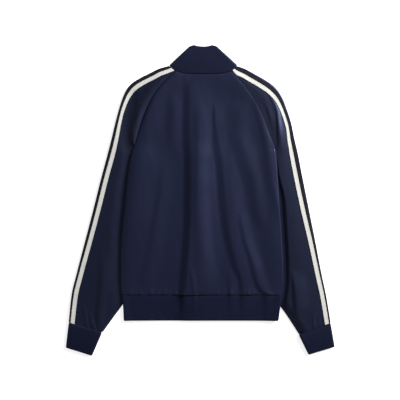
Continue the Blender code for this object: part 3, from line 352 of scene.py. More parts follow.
BodyRow = namedtuple("BodyRow", "y left right")
BODY = [BodyRow(*row) for row in (
    (-325, -203, 207), (-290, -204, 211), (-250, -208, 216), (-211, -211, 220.5), (-158, -211, 219.5),
    (-105, -209, 216.5), (-52, -204, 213), (1, -198, 209.5), (54, -193, 206), (107, -185, 202),
    (146, -176, 199),
)]
YokeRow = namedtuple("YokeRow", "y seam_left seam_right valley_left valley_right low_left low_right")
YOKE = [YokeRow(*row) for row in (
    (100, -176.0, 199.0, -187.0, 203.2, 4.6, 11.8), (125, -176.0, 199.0, -184.5, 201.6, 4.8, 11.7),
    (140, -176.0, 199.0, -190, 200.8, 5.0, 11.2), (150, -173.5, 194.5, -193, 200.8, 5.0, 11.2),
    (160, -170.5, 190.0, -195, 200.9, 5.2, 11.2), (189, -162.5, 178.5, -195, 201, 5.2, 11.6),
    (217, -153.0, 168.5, -193, 200, 5.2, 12.0), (245, -141.5, 156.5, -189, 196, 5.6, 12.0),
    (274, -127.0, 139.5, -180, 190, 6.0, 12.0), (299, -109.5, 122.0, -173, 187, 8.4, 12.0),
    (319, -91.0, 105.0, -167, 185, 11.0, 12.0), (343, -67.0, 84.5, -164, 183, 12.0, 12.0),
)]
SleeveRow = namedtuple("SleeveRow", "outer_x outer_y inner_x inner_y fold_z crown_z black_shows")
SLEEVES = {
    "left": (
        (-84, 357, -67.0, 343, 8.0, 9.0, 7.0), (-107, 351, -91.0, 319, 8.5, 9.5, 7.5),
        (-136, 337, -109.5, 299, 8.5, 9.0, 8.0), (-162, 324, -127.0, 274, 8.5, 8.5, 8.0),
        (-184, 309, -141.5, 245, 8.0, 8.0, 8.0), (-197, 292, -153.0, 217, 8.0, 7.8, 8.0),
        (-206, 272, -162.5, 189, 8.0, 7.6, 8.0), (-215, 245, -169.8, 163, 8.0, 7.6, 7.5),
        (-225, 208, -176.3, 145, 8.0, 7.8, 7.0), (-235, 166, -176.0, 119, 8.0, 8.0, 6.5),
        (-246, 123, -152.0, 83, 8.0, 8.0, 6.0), (-263, 60, -115.0, 25, 8.0, 8.0, 5.5),
        (-283, -20, -124.0, -57, 8.0, 8.0, 5.5), (-305, -105, -141.0, -142, 8.0, 8.0, 5.0),
        (-327, -189, -173.0, -224, 8.0, 8.0, 4.0), (-342, -253, -215.0, -285, 8.0, 7.6, 3.5),
        (-349, -322, -261.0, -349, 9.5, 9.0, 3.0)),
    "right": (
        (100, 358, 84.5, 343, 8.0, 9.0, 12.5), (119, 351, 107.0, 319, 9.0, 10.0, 13.0),
        (145, 337, 125.5, 299, 9.0, 10.5, 13.5), (170, 323, 143.5, 274, 9.0, 11.5, 14.0),
        (191, 309, 160.5, 245, 9.0, 12.5, 14.5), (207, 293, 172.5, 217, 9.0, 12.8, 14.5),
        (219, 273, 182.0, 189, 9.0, 13.0, 14.0), (230, 245, 191.5, 163, 9.0, 13.0, 13.0),
        (242, 208, 199.3, 139, 9.0, 13.0, 12.5), (251, 166, 197.0, 113, 9.0, 12.8, 12.0),
        (261, 123, 174.0, 78, 9.0, 12.5, 11.5), (273, 60, 127.0, 20, 9.0, 12.5, 10.5),
        (288, -20, 115.0, -65, 9.0, 12.5, 8.5), (305, -105, 128.0, -150, 9.0, 12.0, 5.5),
        (321, -189, 168.0, -229, 9.0, 12.0, 3.5), (335, -256, 219.0, -290, 9.5, 12.0, 3.0),
        (346, -323, 262.0, -355, 10.0, 11.0, 3.0)),
}
ARMPIT_ROW = 8
SLEEVE_RUNS = (0, 32, 70, 108, 142, 170, 196, 228, 262, 300, 344, 410, 490, 577, 663, 730, 800)

# Folds of the cloth, a row for each place on a fold's crest.  The cloth climbs by `rise` over
# `steep` on the left of the crest, and falls away over `gentle` on its right.
Fold = namedtuple("Fold", "x y rise steep gentle")
FOLDS = {
    "body main": (
        (-26, 322, 0.0, 20, 60), (-24, 266, 3.2, 24, 80), (-23, 160, 5.4, 26, 95),
        (-22, 107, 8.0, 24, 98), (-22, -25, 10.0, 24, 96), (-26, -110, 10.0, 24, 96),
        (-31, -176, 9.6, 24, 90), (-39, -235, 8.0, 20, 78), (-43, -250, 6.8, 16, 70)),
    "body second": (
        (40, 262, 0.0, 8, 40), (40, 232, 1.3, 9, 45), (48, 170, 2.2, 17, 76), (55, 136, 3.3, 23, 80),
        (61, 94, 4.4, 24, 78), (68, 25, 5.2, 26, 66), (77, -62, 5.2, 25, 62), (88, -122, 5.0, 23, 66),
        (100, -170, 4.6, 22, 70), (112, -211, 3.6, 14, 56), (116, -250, 2.6, 12, 40)),
    "body third": (
        (108, -30, 0.0, 14, 40), (113, -62, 1.2, 14, 40), (122, -107, 2.0, 14, 36),
        (134, -144, 2.7, 14, 34), (144, -179, 3.5, 15, 34), (155, -219, 3.9, 15, 34),
        (166, -240, 3.0, 12, 28), (184, -250, 1.5, 10, 26)),
    "body fourth": (
        (96, 268, 0.0, 30, 36), (102, 227, 1.9, 36, 40), (106, 174, 2.3, 38, 42),
        (122, 121, 2.7, 38, 38), (136, 68, 3.0, 34, 34), (146, 15, 2.6, 32, 32),
        (156, -38, 2.0, 30, 28), (166, -80, 0.0, 28, 24)),
    "body fifth": (
        (140, 285, 0.0, 12, 30), (156, 227, 0.8, 14, 30), (170, 174, 1.2, 14, 22),
        (181, 121, 1.2, 18, 24), (188, 68, 1.1, 20, 20), (200, 15, 1.2, 20, 10),
        (205, -45, 0.0, 20, 10)),
    "body shoulder": (
        (-74, 300, 0.0, 22, 26), (-72, 250, 1.6, 22, 30), (-72, 170, 1.4, 22, 30),
        (-74, 110, 0.0, 20, 30)),
    "body flank": (
        (-96, 110, 0.0, 18, 40), (-101, 20, 1.8, 20, 40), (-112, -41, 2.0, 18, 40),
        (-128, -144, 1.8, 24, 36), (-141, -197, 1.4, 22, 30), (-150, -240, 0.0, 16, 24)),
    "body low": (
        (78, -175, 0.0, 14, 24), (80, -215, 1.0, 12, 22), (82, -250, 1.2, 10, 20)),
    "body streak": (
        (0, 262, 0.0, 24, 34), (0, 225, 1.1, 24, 34), (-3, 160, 1.7, 22, 36), (-4, 100, 1.8, 22, 36),
        (-4, 0, 2.6, 22, 40), (4, -100, 2.4, 28, 32), (12, -170, 2.4, 36, 34), (14, -228, 2.0, 38, 56),
        (14, -250, 1.8, 38, 56)),
    "body by the main": (
        (-26, -178, 0.0, 5, 12), (-21, -210, 1.3, 5, 14), (-17, -250, 1.2, 5, 14)),
    "left elbow": (
        (-257, -131, 0.0, 16, 26), (-259, -221, 2.5, 16, 24), (-265, -277, 3.0, 15, 22),
        (-268, -309, 3.0, 14, 22), (-263, -348, 2.0, 12, 20)),
    "left wrist": (
        (-292, -295, 0.0, 7, 10), (-289, -317, 1.6, 7, 10), (-281, -342, 1.6, 7, 10)),
    "left outer wrist": (
        (-313, -264, 0.0, 6, 8), (-305, -303, 1.5, 6, 8), (-300, -338, 1.5, 6, 8)),
    "left yoke": (
        (-150, 318, 0.0, 7, 20), (-166, 280, 1.8, 7, 26), (-166, 235, 0.8, 9, 14),
        (-170, 190, 0.0, 9, 12)),
    "right yoke inner": (
        (170, 265, 0.0, 7, 10), (184, 227, 0.7, 7, 12), (192, 190, 0.0, 6, 10)),
    "right yoke outer": (
        (184, 290, 0.4, 8, 20), (207, 227, 0.3, 9, 34), (206, 174, 0.3, 8, 36), (206, 130, 0.0, 8, 30)),
    "right yoke edge": (
        (158, 318, 0.0, 9, 10), (184, 280, 1.4, 9, 10), (206, 227, 1.4, 10, 10),
        (209, 174, 1.2, 12, 12), (212, 130, 0.0, 12, 12)),
    "right elbow": (
        (246, -184, 0.0, 10, 40), (251, -237, 4.0, 10, 40), (254, -277, 4.0, 10, 38),
        (256, -309, 2.0, 10, 30), (262, -334, 0.0, 10, 26)),
    "right wrist": (
        (299, -290, 0.0, 4, 8), (300, -326, 1.3, 4, 8), (301, -345, 1.3, 4, 8)),
    "right outer wrist": (
        (313, -300, 0.0, 5, 8), (316, -330, 1.3, 5, 8), (317, -345, 1.3, 5, 8)),
}
# Short gathers where the body is eased on to the hem band: x, length, rise, steep and gentle.
GATHERS = (
    (-186, 20, 0.8, 6, 12), (-160, 16, 0.8, 5, 10), (-132, 26, 1.3, 5, 12), (-114, 16, 0.7, 5, 9),
    (-96, 22, 1.1, 6, 10), (-66, 24, 1.4, 5, 12), (8, 16, 0.6, 6, 10), (44, 18, 0.7, 5, 10),
    (79, 30, 1.3, 5, 12), (127, 24, 1.4, 5, 9), (139, 20, 1.2, 4, 8), (205, 18, 0.8, 6, 10),
)
PUCKER = 0.22             # height of the faint unevenness of laid cloth
PUCKER_ACROSS, PUCKER_ALONG = 17.0, 46.0


def ease(t):
    """Rise smoothly from 0 to 1 as t goes from 0 to 1."""
    t = np.clip(t, 0.0, 1.0)
    return t * t * (3.0 - 2.0 * t)


def smooth(places, values, at):
    """A smooth curve through values at rising places, with no overshoot."""
    places = np.asarray(places, float)
    values = np.asarray(values, float)
    steps = np.diff(places)
    slopes = np.diff(values) / steps
    product = slopes[:-1] * slopes[1:]
    total = slopes[:-1] + slopes[1:]
    inside = np.where(product > 0, 2.0 * product / np.where(total == 0, 1.0, total), 0.0)
    tangents = np.concatenate([slopes[:1], inside, slopes[-1:]])
    at = np.clip(at, places[0], places[-1])
    k = np.clip(np.searchsorted(places, at) - 1, 0, len(steps) - 1)
    h = steps[k]
    t = (at - places[k]) / h
    return (values[k] * (1 + 2 * t) * (1 - t) ** 2 + tangents[k] * h * t * (1 - t) ** 2
            + values[k + 1] * t * t * (3 - 2 * t) - tangents[k + 1] * h * t * t * (1 - t))


def column(table, name, at):
    """Read a column of a table with rising y at any y."""
    return smooth([row.y for row in table], [getattr(row, name) for row in table], at)


def one_fold(across, rise, steep, gentle):
    """Height of a fold at a distance to the right of its crest."""
    return rise * np.where(across < 0, ease(1.0 + across / steep), ease(1.0 - across / gentle))


def fold_rows(name):
    """The rows of a fold, from its lowest place up."""
    return sorted((Fold(*row) for row in FOLDS[name]), key=lambda row: row.y)


def fold_height(panel, x, y):
    """Height of all the folds of a panel at a point."""
    x, y = np.broadcast_arrays(np.asarray(x, float), np.asarray(y, float))
    total = np.zeros(x.shape)
    for name in sorted(FOLDS):
        rows = fold_rows(name)
        if name.startswith(panel) and y.max() >= rows[0].y - 1.0 and y.min() <= rows[-1].y:
            crest, *shape = (column(rows, field, y) for field in ("x", "rise", "steep", "gentle"))
            total = total + one_fold(x - crest, *shape)
    return total


def gather_height(x, y):
    """Height of the short gathers just above the hem seam."""
    total = np.zeros(np.broadcast(x, y).shape)
    for place, length, rise, steep, gentle in GATHERS:
        fade = ease(1.0 - (y - HEM_SEAM_Y) / length)
        total = total + fade * one_fold(x - place, rise, steep, gentle)
    return total


# How each side lies: a value for the left and one for the right.
SIDES = {
    "height": (17.2, 12.5),       # of the upper layer at the side fold
    "hem_height": (12.4, 14.0),   # and where that fold meets the hem band
    "ramp": (110.0, 70.0),        # width over which the back climbs to it
    "yoke": (4.5, 2.0),           # how much further it climbs at the raglan seam
    "dip": (0.0, 5.5),            # from the side fold to the middle of the valley, low down
    "flank_in": (20.0, 22.0),     # width of the valley's flank on the body
    "flank_top": (28.0, 4.0),     # and on the sleeve near the armpit
    "flank_low": (34.0, 11.0),    # and lower down
    "shelf": (14.0, 0.0),         # width of sleeve that lies level with the back above the armpit
    "blend": (26.0, 45.0),        # width over which it turns to the height of its own crown
    "tuck": (1.5, 3.0),           # how far its end runs under the body at the armpit
    "closes": (14.0, 4.0),        # width over which its upper layer closes there
    "sink": (0.9, 6.2),           # how much deeper the valley gets below the armpit
}
Side = namedtuple("Side", ["name", "sign", "sleeve", *SIDES])
LEFT, RIGHT = (Side(name, sign, [SleeveRow(*row) for row in SLEEVES[name]], *values)
               for name, sign, values in zip(SLEEVES, (-1.0, 1.0), zip(*SIDES.values())))
SHOULDER_Y = 320.0        # height on the back where the left side begins to fall away
NECK_FALL = 1.5           # how far the back falls towards the left seam beside the neck
SEAM_FALL = 4.0           # how far it falls towards that seam lower down
SIDE_FALL = 5.0           # and towards the left side fold
SEAM_FALL_RUN = 14.0      # width of that fall along the raglan seam
SIDE_FALL_RUN = 38.0      # and along the side fold
RIDGE_RUN = 16.0          # run over which the sleeve climbs again beyond the left raglan seam
HEM_FALL = 2.2            # how far the cloth droops to the hem band at the left side
HEM_FALL_RIGHT = 0.6      # share of that at the right side
HEM_FALL_LENGTH = 110.0
LAID_CLEAR = 16.0         # the lower layer is fully up this far before a sleeve's inner fold
LIFT_RUN = 30.0           # width over which it climbs there
ARMPIT_LIFT = 1.5         # and the height to which it climbs at the armpit
ZIP_LIFT = 5.0            # how far the slider and tab lift the lower layer
BACK_BUMP = 1.0           # and how much of that shows on the back
ZIP_LIFT_LENGTH = 52.0
ZIP_LIFT_WIDTH = 30.0
ZIP_BOTTOM = (2.0, HEM_BOTTOM_Y)
ZIP_CLOSED_TOP = (11.0, 92.0)
RAGLAN_SHIFT = 0.22       # from the middle of a raglan seam to each of its pieces


def armpit_y(side):
    """Where the side fold passes into the raglan seam."""
    return side.sleeve[ARMPIT_ROW].inner_y


def body_edge(side, y):
    """The side fold of the body."""
    return column(BODY, side.name, y)


def yoke(side, name, y):
    """A column of the yoke's table on one side."""
    return column(YOKE, f"{name}_{side.name}", y)


def tucked_edge(side, y):
    """The inner fold of the sleeve, which lies under the body."""
    rows = side.sleeve[ARMPIT_ROW:][::-1]
    return smooth([row.inner_y for row in rows], [row.inner_x for row in rows], y)


def zip_middle(y):
    """The line along which the closed zip meets."""
    slope = (ZIP_CLOSED_TOP[0] - ZIP_BOTTOM[0]) / (ZIP_CLOSED_TOP[1] - ZIP_BOTTOM[1])
    return ZIP_BOTTOM[0] + slope * (y - ZIP_BOTTOM[1])


def slider_bump(x, y):
    """The swelling, from 0 to 1, that the slider and its pull tab push up in the cloth."""
    across = ease(1.6 - np.abs(x - zip_middle(y)) / ZIP_LIFT_WIDTH)
    return across * ease(1.6 - np.abs(y - ZIP_CLOSED_TOP[1] + 10.0) / ZIP_LIFT_LENGTH)


def underside(x, y):
    """Height of the outer face of the lower layer: flat, but lifted over tucked sleeves."""
    height = np.zeros(np.broadcast(x, y).shape)
    for side in (LEFT, RIGHT):
        outward = side.sign * (x - tucked_edge(side, y))
        across = ease((outward + LAID_CLEAR + LIFT_RUN) / LIFT_RUN)
        above = y - armpit_y(side)
        lift = np.where(above > 0, ARMPIT_LIFT * ease(1.0 - above / 35.0),
                        ARMPIT_LIFT + (UNDER_SIDE - ARMPIT_LIFT) * ease(-above / 20.0))
        height = height + lift * across
    return height + ZIP_LIFT * slider_bump(x, y)


def on_underside(x, y):
    """A point of the outer face of the lower layer."""
    return (float(x), float(y), float(underside(x, y)))


def shoulder_drop(x, y):
    """How far the cloth falls towards the left side fold and the left raglan seam."""
    low = y < armpit_y(LEFT)
    edge = np.where(low, body_edge(LEFT, y), yoke(LEFT, "seam", y))
    at_seam = ease((y - armpit_y(LEFT) + 40.0) / 70.0)
    seam_fall = NECK_FALL + (SEAM_FALL - NECK_FALL) * ease((SHOULDER_Y - y) / 110.0)
    fall = SIDE_FALL + (seam_fall - SIDE_FALL) * at_seam
    run = SEAM_FALL_RUN + (SIDE_FALL_RUN - SEAM_FALL_RUN) * ease((SHOULDER_Y - 90.0 - y) / 90.0)
    fade = ease((y - HEM_BOTTOM_Y + 20.0) / 300.0) * ease((SHOULDER_Y + 23.0 - y) / 30.0)
    ridge = RIDGE_RUN * (1.0 + 1.2 * ease((armpit_y(LEFT) + 70.0 - y) / 70.0))
    away = np.where(x > edge, (x - edge) / run, np.where(low, 0.0, (edge - x) / ridge))
    return fall * fade * np.clip(1.0 - away, 0.0, 1.0) ** (3.0 - at_seam)


def hem_fall(x, y):
    """How far the cloth droops to the hem band at both sides."""
    share = ease((-20.0 - x) / 60.0) + HEM_FALL_RIGHT * ease((x - 135.0) / 40.0)
    return HEM_FALL * share * ease((HEM_SEAM_Y + HEM_FALL_LENGTH - y) / HEM_FALL_LENGTH)


def plateau(x, y):
    """Height of the upper layer before the armpit valleys are pressed into it."""
    height = MIDDLE_HEIGHT + 1.5 * ease((y - 270.0) / 60.0) + BACK_BUMP * slider_bump(x, y)
    for side in (LEFT, RIGHT):
        outward = side.sign * (x - body_edge(side, y))
        top = side.height + (side.hem_height - side.height) * ease((-40.0 - y) / 120.0)
        over_sleeve = (top - MIDDLE_HEIGHT) * ease((outward + side.ramp + 10.0) / side.ramp)
        inside = side.sign * (yoke(side, "seam", y) - x)
        yoke_rise = side.yoke * ease(1.0 - inside / 70.0) * ease((360.0 - y) / 90.0)
        high = ease((y - armpit_y(side) + 60.0) / 80.0)
        height = height + over_sleeve * (1.0 - high) + yoke_rise * high
    height = height - shoulder_drop(x, y) - hem_fall(x, y)
    return height + fold_height("body", x, y) + gather_height(x, y)


def valley_line(side, y):
    """Where the sleeve dips beside the body, and the height of the bottom of the dip."""
    dip = 0.6 + side.dip * ease((armpit_y(side) - 60.0 - y) / 90.0)
    low_x = body_edge(side, y) + side.sign * dip
    middle = np.where(y < YOKE[0].y, low_x, yoke(side, "valley", y))
    return middle, yoke(side, "low", y) - side.sink * ease((YOKE[0].y + 10.0 - y) / 100.0)


def press_valley(side, height, x, y, presence, flat_inside):
    """Press the armpit valley into a height."""
    middle, bottom = valley_line(side, y)
    outward = side.sign * (x - middle)
    inside = np.where(flat_inside, 1.0, ease(1.0 + outward / side.flank_in))
    below = ease((armpit_y(side) - 60.0 - y) / 80.0)
    flank_out = side.flank_top + (side.flank_low - side.flank_top) * below
    weight = np.where(outward < 0, inside, ease(1.0 - outward / flank_out)) * presence
    return height - np.maximum(height - bottom, 0.0) * weight


def raglan_x(side, y):
    """The back's edge of the raglan seam."""
    return yoke(side, "seam", y) - side.sign * RAGLAN_SHIFT


def front_raglan(side, y):
    """The front raglan seam: that of the back, but wider at the neck."""
    return raglan_x(side, y) + side.sign * 8.0 * ease((y - 300.0) / 43.0)


def respaced(points, marks, counts, along):
    """Space a section out again, with a set number of spans between marks along its run.

    Its two ends are finer, for the rounded edges.  Each point comes back with its normal.
    """
    both = np.concatenate([points, section_normals(points, along)], axis=1)
    run = run_length(points)
    marks = [0.0, *marks, run[-1]]
    wanted = [np.linspace(low, high, count + 1)[:-1]
              for low, high, count in zip(marks[:-1], marks[1:], counts)]
    wanted = np.concatenate([*wanted, [run[-1]]])
    count = len(EDGE_RUNS)
    wanted[:count] = np.minimum(EDGE_RUNS, np.linspace(0.0, wanted[count], count + 1)[:-1])
    wanted[-count:] = run[-1] - np.minimum(EDGE_RUNS, np.linspace(
        0.0, run[-1] - wanted[-count - 1], count + 1)[:-1])[::-1]
    spaced = read_line(wanted, run, both)
    spaced[:, 3:] = unit(spaced[:, 3:])
    return spaced


def square_off(sections):
    """Stack sections, and turn the normals at the sewn sides so that facing rims are parallel."""
    sections = np.stack(sections)
    normals = sections[..., 3:]
    for col in (0, -1):
        steep = np.abs(normals[:, col, 2]) < 0.4
        upright = np.where(normals[:, col, 2] < 0, -1.0, 1.0)
        level = normals[:, col] * (1.0, 1.0, 0.0)
        normals[:, col] = np.where(steep[:, None], level, upright[:, None] * (0.0, 0.0, 1.0))
    sections[..., 3:] = unit(normals)
    return sections


def pucker(sections):
    """Raise the faint unevenness of laid cloth on the faces that look up."""
    points, normals = sections[..., :3], sections[..., 3:]
    lift = np.array([noise.noise(Vector((x / PUCKER_ACROSS, y / PUCKER_ALONG, 0.5)))
                     for x, y, z in points.reshape(-1, 3)]).reshape(points.shape[:2])
    facing = np.clip(normals[..., 2] * 2.0 - 0.6, 0.0, 1.0)
    points += (PUCKER * lift * facing)[..., None] * normals
    return sections


# Brushed tricot, warp-knitted polyester: navy, with a soft sheen along its fine wales.
TRICOT_WALE_MM = 1.3      # real wales are 0.6 mm, drawn twice as wide so that they show
TRICOT = {"wale": TRICOT_WALE_MM, "course": 1.8, "ribs": 0.3, "depth": 0.02, "roughness": 0.40}
tricot = knit("brushed_tricot", "0F1226", "0D1022", shine=0.72, **TRICOT)
# The sleeves get a copy of the same tricot, painted greyer and darker as painted shade.
sleeve_tricot = knit("sleeve_tricot", "0D0F1E", "0B0D1A", shine=0.64, **TRICOT)

SLEEVE_SPANS = (27, 45, 7, 8, 38)     # inside the dip, outside it, white tape, black tape, beneath
SLEEVE_ROWS = 220
FOLD_POINTS = 31          # points round the outer fold before a section is spaced out
TUCK_DEPTH = 8.0          # how far the sleeve's end runs under the body below the armpit
CLOSES_LOW = 14.0         # width over which it closes below the armpit
CLOSES_WRIST = 12.0       # what the rows towards the wrist, from this row on, add to that
WRIST_ROW = 12.0
FALL_RUN = 55.0           # width over which the sleeve falls to its outer fold
FALL_SHARE = 0.7          # or this share of a narrower section
UNDER_RISE = 30.0         # width over which its lower layer comes down from the seam
TAPE_CLEAR = 16.0         # it stands on the tape beneath it up to this far from the outer fold
TAPE_RISE = 12.0          # and comes up to that over this width


def sleeve_section(side, p):
    """A section of the sleeve: from its inner edge over the outer fold and back beneath."""
    table = np.arange(len(side.sleeve))
    row = SleeveRow(*(smooth(table, values, p) for values in zip(*side.sleeve)))
    above, past = p <= ARMPIT_ROW, armpit_y(side) - row.inner_y
    inner = np.array((row.inner_x, row.inner_y))
    under = inner.copy()
    if above:
        inner[0] = raglan_x(side, row.inner_y) + side.sign * 2.0 * RAGLAN_SHIFT
        under[0] = front_raglan(side, row.inner_y) + side.sign * 2.0 * RAGLAN_SHIFT
        end_low = on_underside(*under)[2]
    else:
        end_low = ARMPIT_LIFT * ease(1.0 - past / 20.0)
        if p <= ARMPIT_ROW + 1:
            tuck = side.tuck + (TUCK_DEPTH - side.tuck) * ease(past / 26.0)
            inner[0] = body_edge(side, row.inner_y) + side.sign * (2 * SEAM_GAP - tuck)
            under[0] = inner[0]
    outer = np.array((row.outer_x, row.outer_y))
    outer = outer + unit(inner - outer) * TAPE_STACK
    length, step = math.dist(outer, inner), unit(outer - inner)
    under_length, under_step = math.dist(outer, under), unit(outer - under)
    radius = 0.5 * (row.fold_z - TAPE_STACK)

    d = np.linspace(0.0, length - radius, DENSE)
    x, y = inner[0] + d * step[0], inner[1] + d * step[1]
    out = ease((d - side.shelf * ease(ARMPIT_ROW - p)) / side.blend)
    z = plateau(x, y) * (1.0 - out) + row.crown_z * out
    z = z + fold_height(side.name, x, y) * ease(d / 20.0)
    fall = min(FALL_RUN, FALL_SHARE * length)
    z = z + (row.fold_z - z) * ease((d - length + radius + fall) / fall)
    z = press_valley(side, z, x, y, 1.0, not above)
    closes = side.closes + (CLOSES_LOW - side.closes) * ease((p - ARMPIT_ROW - 1.0) / 2.0)
    closes = closes + CLOSES_WRIST * ease((p - WRIST_ROW) / 2.0)
    closing = 1.0 - np.sin(0.5 * math.pi * np.minimum(d / closes, 1.0))
    closing = closing * ease((p - ARMPIT_ROW) / 0.3)
    top = np.stack([x, y, z + (end_low + 2.0 * CLOTH + SEAM_GAP - z) * closing], axis=1)

    fold = []
    for a in np.linspace(0.0, math.pi, FOLD_POINTS + 2)[1:-1]:
        way = step if a < 0.5 * math.pi else under_step
        fold.append((*(outer - radius * (1.0 - math.sin(a)) * way),
                     TAPE_STACK + radius * (1.0 + math.cos(a))))
    d = np.linspace(under_length - radius, 0.0, DENSE // 2)
    z = TAPE_STACK * ease((d - under_length + radius + TAPE_CLEAR) / TAPE_RISE)
    z = z + end_low * (1.0 - ease(d / UNDER_RISE))
    low = np.stack([under[0] + d * under_step[0], under[1] + d * under_step[1], z], axis=1)
    points = np.concatenate([top, fold, low])
    run = run_length(points)
    if row.black_shows < radius:
        reach = radius * math.acos(1.0 - row.black_shows / radius)
    else:
        reach = radius * 0.5 * math.pi + row.black_shows - radius
    black = run[len(top) + FOLD_POINTS // 2] - reach
    white = max(black - TAPE_WIDTH, 1.2)
    black = max(black, 2.6)
    dip = side.sign * (top[:, 0] - valley_line(side, top[:, 1])[0])
    dip_run = min(max(run[int(np.searchsorted(dip, 0.0))], 0.15 * white), 0.65 * white)
    return respaced(points, (dip_run, white, black, black + TAPE_WIDTH), SLEEVE_SPANS,
                    (-step[1], step[0], 0.0))


# The tapes are knitted strips, one white and one black, laid side by side over the outer fold
# of each sleeve and stitched down along both edges.
TAPE_KNIT = {"wale": 1.6, "course": 1.0, "ribs": 0.5, "depth": 0.06}
white_tape = knit("white_knit_tape", "C6C4BD", "C0BEB7", shine=0.5, roughness=0.8, **TAPE_KNIT)
black_tape = knit("black_knit_tape", "13110F", "0F0E0D", shine=0.3, roughness=0.7, **TAPE_KNIT)
TAPE_EDGE = 0.12          # how far a tape's first edge stands off its neighbour


def tape_sections(sections, start, spans):
    """Points of a tape from the sleeve's own points, moved out to lie on it."""
    strip = sections[:, start:start + spans + 1].copy()
    strip[:, 0] += TAPE_EDGE / TAPE_WIDTH * spans * (strip[:, 1] - strip[:, 0])
    strip[..., :3] += TAPE_STACK * strip[..., 3:]
    return strip


sleeve_stops = np.interp(np.linspace(0.0, 1.0, SLEEVE_ROWS) * SLEEVE_RUNS[-1], SLEEVE_RUNS,
                         np.arange(len(SLEEVE_RUNS)))
WHITE_START = SLEEVE_SPANS[0] + SLEEVE_SPANS[1]
for side, first_column in ((LEFT, -0.6), (RIGHT, 0.15)):
    sections = pucker(square_off([sleeve_section(side, p) for p in sleeve_stops]))
    sleeve = shell("raglan_sleeve_" + side.name, "sleeve_" + side.name,
                   sections, CLOTH, sleeve_tricot,
                   (-0.6, 1.0, first_column, 0.6))
    for colour, start, spans, paint in (
            ("white", WHITE_START, SLEEVE_SPANS[2], white_tape),
            ("black", WHITE_START + SLEEVE_SPANS[2], SLEEVE_SPANS[3], black_tape)):
        name = f"{colour}_tape_{side.name}"
        tape = shell(name, f"tape_{colour}_{side.name}", tape_sections(sections, start, spans),
                     TAPE, paint)

# ---------------------------------------------------------------- back
# The back is one panel of the same tricot, from the hem seam to the neck.  Its sides roll under
# to the side seams, and above the armpits it is sewn to the sleeves along the raglan seams.

BACK_SPANS = (26, 66, 20, 96, 26)     # side, left half, up the main fold, right half, side
BACK_ROWS = 247
SIDE_RUN = 10.0           # width of the finely spaced cloth beside a raglan seam
SIDE_INSET = 6.0          # how far the side seam lies in from the round of the side fold
LEAST_INSET = 0.3
NECK_SAG = 9.0            # the neck seam dips this far below the tops of the raglan seams
TOP_Y = YOKE[-1].y
ROLL_POINTS = 60
Roll = namedtuple("Roll", "centre low radius turn lean")


def top_height(x, y):
    """Height of the outer face of the back."""
    height = plateau(x, y)
    for side in (LEFT, RIGHT):
        presence = ease((y - armpit_y(side) + 12.0) / 12.0)
        height = press_valley(side, height, x, y, presence, False)
    return height


def side_roll(side, y):
    """The round of the side fold, which meets the sloping top of the back smoothly."""
    edge = body_edge(side, y)
    low = float(underside(edge - side.sign * 5.0, y))
    radius, lean = 4.0, 0.0
    for _ in range(3):
        seat = edge - side.sign * radius * (1.0 - math.sin(lean))
        near, far = top_height(np.array((seat, seat - side.sign * 2.0)), np.full(2, y))
        lean = min(max(math.atan(0.5 * (far - near)), -0.2), 0.5)
        radius = (near - low) / (1.0 + math.cos(lean))
    turn = math.pi * (0.62 + 0.38 * ease((armpit_y(side) - y) / 26.0))
    return Roll(edge - side.sign * radius, low, radius, turn, lean)


def round_points(side, y, roll, angles):
    """Points round the side fold, from its top at angle 0 to its bottom at half a turn."""
    return [(roll.centre + side.sign * roll.radius * math.sin(angle), y,
             roll.low + roll.radius + roll.radius * math.cos(angle)) for angle in angles]


def side_inset(side, y):
    """How far the side seam lies in from the round of the side fold."""
    return SIDE_INSET * ease((armpit_y(side) - y - 20.0) / 30.0)


def body_side(side, y):
    """The rolled side of the body at one height: from the side seam to the top of the back."""
    roll = side_roll(side, y)
    inset = side_inset(side, y)
    points = round_points(side, y, roll, np.linspace(roll.turn, roll.lean, ROLL_POINTS))
    if inset > LEAST_INSET:
        points = [on_underside(roll.centre - side.sign * inset * share, y)
                  for share in (1.0, 0.8, 0.6, 0.4, 0.2)] + points
    return points


def back_section(y):
    """A section of the back at one height, from its left edge over to its right edge."""
    sides, ends, runs = [], [], []
    for side in (LEFT, RIGHT):
        above = y - armpit_y(side)
        rolled = np.array(body_side(side, y) if above < 0 else [on_underside(raglan_x(side, y), y)])
        sides.append(rolled[:-1])
        ends.append(rolled[-1, 0])
        runs.append(run_length(rolled)[-1] if above < 0 else 0.6 + SIDE_RUN * ease(above / 60.0))
    x = np.linspace(*ends, DENSE)
    u = (x - 0.5 * (x[0] + x[-1])) / (0.5 * (x[-1] - x[0]))
    ys = y - NECK_SAG * ease((y - 285.0) / 58.0) * (1.0 - u ** 4)
    top = np.stack([x, ys, top_height(x, ys)], axis=1)
    points = np.concatenate([sides[0], top, sides[1][::-1]])
    run = run_length(points)
    main = fold_rows("body main")
    crest, steep = column(main, "x", y), column(main, "steep", y)
    foot_run, crest_run = np.interp((crest - steep, crest), x, run[len(sides[0]):][:len(x)])
    marks = (runs[0], foot_run, crest_run, run[-1] - runs[1])
    return respaced(points, marks, BACK_SPANS, (0.0, 1.0, 0.0))


back_rows = HEM_SEAM_Y + SEAM_GAP + edge_rows(TOP_Y - HEM_SEAM_Y - SEAM_GAP, BACK_ROWS)
back = shell("back_panel", "back",
             pucker(square_off([back_section(y) for y in back_rows])), CLOTH, tricot,
             (1.2, -0.4, 1.6, -0.55))

# ---------------------------------------------------------------- collar
# The stand collar is a folded band of fine rib.  It goes round the back of the neck and turns
# over at both sides, so that its two front ends lie beneath.

